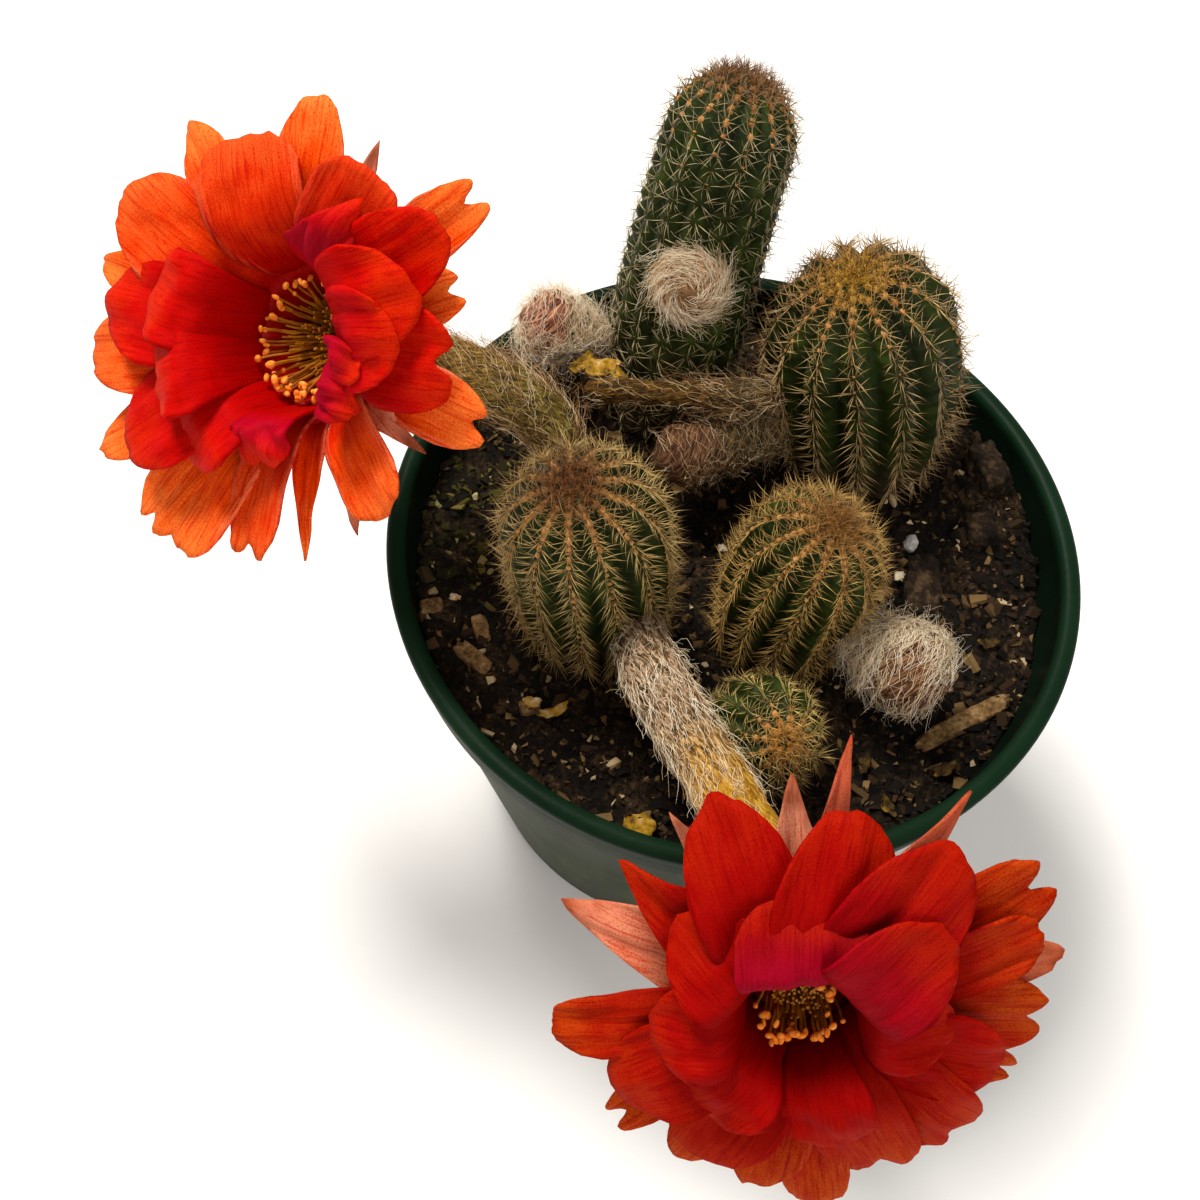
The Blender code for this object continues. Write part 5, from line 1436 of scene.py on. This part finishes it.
# %% Tree: tangled wool
tree, given = new_tree("tangled_wool", {
    "Density": "Float", "Hair length": "Float", "Hair radius": "Float", "Curl": "Float",
    "Curl size": "Float", "Stand": "Float", "Cling": "Float", "Fly": "Float", "Tone": "Float",
    "Seed": "Int", "Material": "Material"})
woolly = node(tree, "GeometryNodeInputNamedAttribute", {"Name": "woolly"}, data_type="FLOAT")
thick = node(tree, "ShaderNodeMath", {0: woolly, 1: given["Density"]}, operation="MULTIPLY")
roots = node(tree, "GeometryNodeDistributePointsOnFaces",
             {"Mesh": given["Geometry"], "Density": thick, "Seed": given["Seed"]},
             distribute_method="RANDOM")
normal = roots.node.outputs["Normal"]
brushed = node(tree, "GeometryNodeInputNamedAttribute", {"Name": "brushed"}, data_type="FLOAT_VECTOR")
stray = node(tree, "FunctionNodeRandomValue",
             {0: (-0.45, -0.45, -0.45), 1: (0.45, 0.45, 0.45), "Seed": 2},
             data_type="FLOAT_VECTOR")
stand = node(tree, "ShaderNodeVectorMath", {0: normal, "Scale": given["Stand"]}, operation="SCALE")
way = node(tree, "ShaderNodeVectorMath", {0: stand, 1: brushed}, operation="ADD")
way = node(tree, "ShaderNodeVectorMath", {0: way, 1: stray}, operation="ADD")
rotation = node(tree, "FunctionNodeAlignRotationToVector", {"Vector": way}, axis="Z")
long = node(tree, "FunctionNodeRandomValue", {2: 0.5, 3: 1.25, "Seed": 6}, out=1, data_type="FLOAT")
long = node(tree, "ShaderNodeMath", {0: long, 1: given["Hair length"]}, operation="MULTIPLY")
strand = node(tree, "GeometryNodeCurvePrimitiveLine", {"End": (0.0, 0.0, 1.0)})
strand = node(tree, "GeometryNodeResampleCurve", {"Curve": strand, "Count": 6})
hairs = node(tree, "GeometryNodeInstanceOnPoints",
             {"Points": roots, "Instance": strand, "Rotation": rotation, "Scale": long})
tint = node(tree, "FunctionNodeRandomValue", {2: -0.45, 3: 0.4, "Seed": 7}, out=1, data_type="FLOAT")
tint = node(tree, "ShaderNodeMath", {0: tint, 1: given["Tone"]}, operation="ADD")
hairs = node(tree, "GeometryNodeStoreNamedAttribute",
             {"Geometry": hairs, "Name": "tint", "Value": tint}, data_type="FLOAT", domain="INSTANCE")
free = node(tree, "FunctionNodeRandomValue", {2: 0.0, 3: 1.0, "Seed": 12}, out=1, data_type="FLOAT")
free = node(tree, "ShaderNodeMath", {0: free, 1: 2.0}, operation="POWER")
free = node(tree, "ShaderNodeMath", {0: free, 1: given["Fly"]}, operation="MULTIPLY")
hairs = node(tree, "GeometryNodeStoreNamedAttribute",
             {"Geometry": hairs, "Name": "free", "Value": free}, data_type="FLOAT", domain="INSTANCE")
hairs = node(tree, "GeometryNodeRealizeInstances", {"Geometry": hairs})
share = node(tree, "GeometryNodeSplineParameter", out="Factor")
where = node(tree, "GeometryNodeInputPosition")
finer = node(tree, "ShaderNodeMath", {0: 1.0, 1: given["Curl size"]}, operation="DIVIDE")
own = node(tree, "GeometryNodeInputNamedAttribute", {"Name": "tint"}, data_type="FLOAT")
own = node(tree, "ShaderNodeMath", {0: own, 1: 1.6}, operation="MULTIPLY")
drift = node(tree, "ShaderNodeTexNoise", {"Vector": where, "W": own, "Scale": finer,
                                          "Detail": 1.0}, out="Color", noise_dimensions="4D")
drift = node(tree, "ShaderNodeVectorMath", {0: drift, 1: (0.5, 0.5, 0.5)}, operation="SUBTRACT")
sway = node(tree, "ShaderNodeMath", {0: share, 1: given["Curl"]}, operation="MULTIPLY")
drift = node(tree, "ShaderNodeVectorMath", {0: drift, "Scale": sway}, operation="SCALE")
hairs = node(tree, "GeometryNodeSetPosition", {"Geometry": hairs, "Offset": drift})
skin_near = node(tree, "GeometryNodeProximity",
                 {"Geometry": given["Geometry"], "Sample Position": where}, out="Position",
                 target_element="FACES")
pull = node(tree, "ShaderNodeVectorMath", {0: skin_near, 1: where}, operation="SUBTRACT")
tied = node(tree, "GeometryNodeInputNamedAttribute", {"Name": "free"}, data_type="FLOAT")
tied = node(tree, "ShaderNodeMath", {0: 1.0, 1: tied}, operation="SUBTRACT")
tied = node(tree, "ShaderNodeMath", {0: tied, 1: given["Cling"]}, operation="MULTIPLY")
pull = node(tree, "ShaderNodeVectorMath", {0: pull, "Scale": tied}, operation="SCALE")
hairs = node(tree, "GeometryNodeSetPosition", {"Geometry": hairs, "Offset": pull})
hairs = node(tree, "GeometryNodeStoreNamedAttribute",
             {"Geometry": hairs, "Name": "share", "Value": share}, data_type="FLOAT", domain="POINT")
taper = node(tree, "ShaderNodeMapRange", {"Value": share, "To Min": 1.0, "To Max": 0.3})
ring = node(tree, "GeometryNodeCurvePrimitiveCircle",
            {"Resolution": 3, "Radius": given["Hair radius"]})
hairs = node(tree, "GeometryNodeCurveToMesh",
             {"Curve": hairs, "Profile Curve": ring, "Scale": taper, "Fill Caps": True})
end_tree(tree, hairs, given["Material"])

# %% [markdown]
# The wool of buds is fine and dull: cream where it is fresh, brown where it has dried, and the
# tint attribute holds the tone of each hair. Underneath, the hairs lie matted on the body. They
# are too many to model, so the material draws them: noise stretched along the strand attribute,
# which winds round the body as the wool does, gives streaks about half a millimetre wide.
# Near its flower the front tube is bare, and shows its smooth amber flesh.

# %% Plant wool and matted wool
wool, tree, shader = material_of("dry_plant_wool", {"Roughness": 0.8, "Specular IOR Level": 0.2})
tint = node(tree, "ShaderNodeAttribute", out="Fac", attribute_name="tint")
colour = node(tree, "ShaderNodeValToRGB", {"Fac": tint},
              stops=[(0.0, "#4a2c14"), (0.3, "#8c6034"), (0.55, "#c49a68"), (0.8, "#ecd4a8"),
                     (1.0, "#fff4dc")])
finish_of(tree, shader, colour)

# For each body: its three shades where it begins, its three shades farther on, and the share of
# its length where the second ones take over
FLESH = {
    "flower_left_tube": (("#242006", "#584a12", "#8c7a34"), ("#342606", "#6c5212", "#a0803c"), 0.5),
    "flower_front_tube": (("#30240e", "#7a5c3c", "#c4a88c"), ("#94600c", "#c08a18", "#e4b44c"), 0.45),
    "bud_tall": (("#4a3420", "#94744c", "#ccb088"), ("#4e3018", "#8c6238", "#c09a6c"), 0.6),
    "bud_back_left": (("#3c2e1a", "#7c6444", "#b89c74"), ("#3c1c12", "#8a5038", "#d09c78"), 0.5),
    "bud_middle": (("#201a0c", "#4a4024", "#80704c"), ("#24120a", "#583620", "#8c6844"), 0.45),
    "bud_right": (("#4a361e", "#907250", "#c8ac84"), ("#30160c", "#6a4228", "#a88460"), 0.45),
    "spent_flower": (("#1c1608", "#40341c", "#746040"), ("#1c1204", "#46300a", "#8a6218"), 0.3),
}


def matted_wool(name):
    """Matted wool or flesh of one body, in its shades and with streaks along its strands."""
    near, far, place = FLESH[name]
    material, tree, shader = material_of("matted_wool_" + name, {"Roughness": 0.75,
                                                                 "Specular IOR Level": 0.2})
    strand = node(tree, "ShaderNodeAttribute", out="Vector", attribute_name="strand")
    share = node(tree, "ShaderNodeAttribute", out="Fac", attribute_name="share")
    streaks = node(tree, "ShaderNodeTexNoise", {"Vector": strand, "Scale": 2.4, "Detail": 5.0,
                                                "Roughness": 0.6, "Distortion": 0.7})
    near, far = [node(tree, "ShaderNodeValToRGB", {"Fac": streaks},
                      stops=[(0.38, shades[0]), (0.5, shades[1]), (0.62, shades[2])])
                 for shades in (near, far)]
    change = node(tree, "ShaderNodeMath", {0: streaks, 1: 0.25, 2: share}, operation="MULTIPLY_ADD")
    change = node(tree, "ShaderNodeMapRange", {"Value": change, "From Min": place + 0.05,
                                               "From Max": place + 0.2})
    colour = node(tree, "ShaderNodeMix", {0: change, 6: near, 7: far}, out=2, data_type="RGBA")
    finish_of(tree, shader, colour, streaks, 0.9, 0.7)
    return material


# %% Grow the tubes and their wool
HAIR_RADIUS, CURL_SIZE = 0.042, 2.4
for name, habit in WOOL.items():
    body = swept(name)
    body.data.materials.append(matted_wool(name))
    settle(body, "floral_tube_wool", name)
    area = sum(face.area for face in body.data.polygons)
    coat = in_scene("wool_" + name, body.data.copy())
    grown(coat, "tangled_wool", {
        "Density": habit["hairs"] / area, "Hair length": habit["length"] * MM,
        "Hair radius": HAIR_RADIUS * MM, "Curl": habit["curl"] * MM, "Curl size": CURL_SIZE * MM,
        "Stand": 0.5, "Cling": habit["cling"], "Fly": habit["fly"], "Tone": habit["tone"],
        "Seed": SEED, "Material": wool})
    settle(coat, "floral_tube_wool")

# %% [markdown]
# ## Bark, wood and perlite
# The litter on the soil is broken bark, a long wood sliver, pale chips and one white perlite
# grain. Each is a block that was cut finer, pushed in and out by noise and split along its
# grain, so its outline stays that of the solid while its surface looks torn.

# %% Litter
LITTER = {
    "bark_lump": ((36.5, 27.0), (5.5, 8.5, 6.5), 36),
    "bark_chunk": ((37.5, 17.0), (5.0, 6.0, 4.0), 20),
    "bark_slab": ((30.5, 5.0), (5.5, 11.5, 2.4), 8),
    "wood_sliver": ((40.5, -16.5), (17.0, 3.0, 1.8), 44),
    "wood_chip_left": ((-34.5, -22.5), (5.0, 2.4, 1.6), -60),
    "wood_chip_front": ((-34.0, -28.0), (6.5, 2.6, 1.6), -25),
    "wood_chip_far": ((-43.0, -21.0), (3.6, 2.4, 1.4), 30),
    "wood_block": ((-23.5, -33.0), (3.4, 2.6, 2.0), 30),
    "perlite": ((27.4, 12.5), (2.4, 3.0, 2.6), 0),
}


def torn_block(name):
    """A rounded, rough block with lengthwise grain, bedded in the soil where its solid is."""
    (x, y), size, turn = LITTER[name]
    bm = bmesh.new()
    bmesh.ops.create_icosphere(bm, subdivisions=4, radius=1.0)
    square = 1.0 if name == "perlite" else 0.45
    shift = Vector((len(name), x, y))
    for vertex in bm.verts:
        way = vertex.co.normalized()
        box = way / max(abs(way.x), abs(way.y), abs(way.z))
        form = way.lerp(box, 1 - square) * 0.5
        coarse = noise.fractal(way * 1.7 + shift, 0.9, 2.1, 4)
        grain = noise.noise(Vector((way.x * 1.5, way.y * 9, way.z * 9)) + shift)
        splits = 0.0 if name == "perlite" else 0.14 if "bark" in name else 0.08
        grow = 1 + 0.16 * coarse + splits * grain
        vertex.co = Vector([form[k] * size[k] * grow for k in range(3)])
    height = soil_height(x, y) + 0.12 * size[2]
    bm.transform(Matrix.Translation((x, y, height)) @ Matrix.Rotation(math.radians(turn), 4, "Z"))
    bmesh.ops.scale(bm, verts=bm.verts, vec=(MM, MM, MM))
    return from_bmesh("torn_" + name, bm)


def split_wood(name, shades, scale):
    """Dry wood, bark or perlite in three shades, with a grain noise of a given scale."""
    return grained(name, {"Roughness": 0.9, "Specular IOR Level": 0.2},
                   {"Scale": scale, "Detail": 6.0, "Roughness": 0.7},
                   [(0.36, shades[0]), (0.5, shades[1]), (0.66, shades[2])], 1.0, 1.2)


bark = split_wood("pine_bark", ("#0c0804", "#281c10", "#5c4830"), 420.0)
wood = split_wood("split_softwood", ("#4e3820", "#86663c", "#b4946a"), 600.0)
stone = split_wood("perlite_grain", ("#b8b4aa", "#d8d4cc", "#f0eeea"), 900.0)
for name in LITTER:
    thing = torn_block(name)
    thing.data.materials.append(stone if name == "perlite" else bark if "bark" in name else wood)
    settle(thing, "perlite_stone" if name == "perlite" else "bark", name)

# %% [markdown]
# Dry scraps of old flowers and leaves lie on the soil and hang in the plants. They are thin
# flakes with curled ends, too small for solids of their own, and one mesh holds them all. The
# shade attribute runs from brown leaf over yellow flower to pale grit.

# %% Dry scraps
# Place, length, width, direction, how far the ends curl up, and shade
SCRAPS = [
    ((-3.1, -47.4, 66.9), 4.6, 4.2, 0, 0.5, 0.5), ((-19.7, -33.6, 67.4), 4.6, 1.8, 40, 1.8, 0.55),
    ((-23.3, -32.6, 66.8), 2.6, 1.8, 10, 0.1, 0.7), ((-28.0, 19.7, 82.0), 7.5, 3.4, 20, 1.4, 0.5),
    ((-23.8, 18.2, 82.6), 5.2, 2.8, -30, 1.2, 0.45), ((-31.0, 21.0, 80.5), 5.0, 2.6, 60, 1.0, 0.35),
    ((38.3, -25.5, 66.9), 4.4, 2.0, 30, 0.8, 0.12), ((31.6, -33.8, 66.9), 4.2, 1.8, -50, 1.0, 0.2),
    ((26.7, 5.7, 67.2), 2.0, 1.6, 0, 0.0, 0.95), ((-39.9, -18.7, 66.8), 1.8, 1.3, 0, 0.0, 0.9),
    ((-1.8, 2.4, 67.2), 1.8, 1.4, 0, 0.0, 0.9), ((-30.3, 25.6, 68.2), 9.0, 4.0, 15, 0.6, 0.05),
    ((27.0, -28.0, 66.9), 3.4, 2.0, 80, 0.6, 0.1), ((42.0, -2.0, 66.9), 3.6, 1.8, 20, 0.6, 0.12),
]
flakes = bmesh.new()
shade_layer = flakes.verts.layers.float.new("shade")
for place, length, width, turn, curl, shade in SCRAPS:
    made = bmesh.ops.create_icosphere(flakes, subdivisions=3, radius=0.5)["verts"]
    turned_way = Matrix.Rotation(math.radians(turn), 3, "Z")
    for vertex in made:
        x, y, z = vertex.co
        ragged = 1 + 0.5 * noise.noise(Vector((x * 5 + place[0], y * 5 + place[1], 0.5)))
        lifted = 4 * curl * x * x + 0.6 * noise.noise(Vector((x * 6 + place[0], y * 6, 2.5)))
        flake = Vector((x * length * ragged, y * width * ragged, z * 0.4 + lifted))
        vertex.co = (turned_way @ flake + Vector(place)) * MM
        vertex[shade_layer] = shade
scraps = from_bmesh("dry_scraps", flakes)
dry, tree, shader = material_of("dry_plant_scrap", {"Roughness": 0.85, "Specular IOR Level": 0.15})
place = node(tree, "ShaderNodeTexCoord", out="Object")
shade = node(tree, "ShaderNodeAttribute", out="Fac", attribute_name="shade")
grain = node(tree, "ShaderNodeTexNoise", {"Vector": place, "Scale": 800.0, "Detail": 4.0})
grain = node(tree, "ShaderNodeMath", {0: grain, 1: 0.5}, operation="SUBTRACT")
mixed = node(tree, "ShaderNodeMath", {0: grain, 1: 1.2, 2: shade}, operation="MULTIPLY_ADD")
colour = node(tree, "ShaderNodeValToRGB", {"Fac": mixed},
              stops=[(0.0, "#1c1208"), (0.25, "#4e3a18"), (0.5, "#987210"), (0.7, "#b08c50"),
                     (1.0, "#d8ccb0")])
finish_of(tree, shader, colour, grain, 0.6, 0.4)
scraps.data.materials.append(dry)
settle(scraps, "bark")
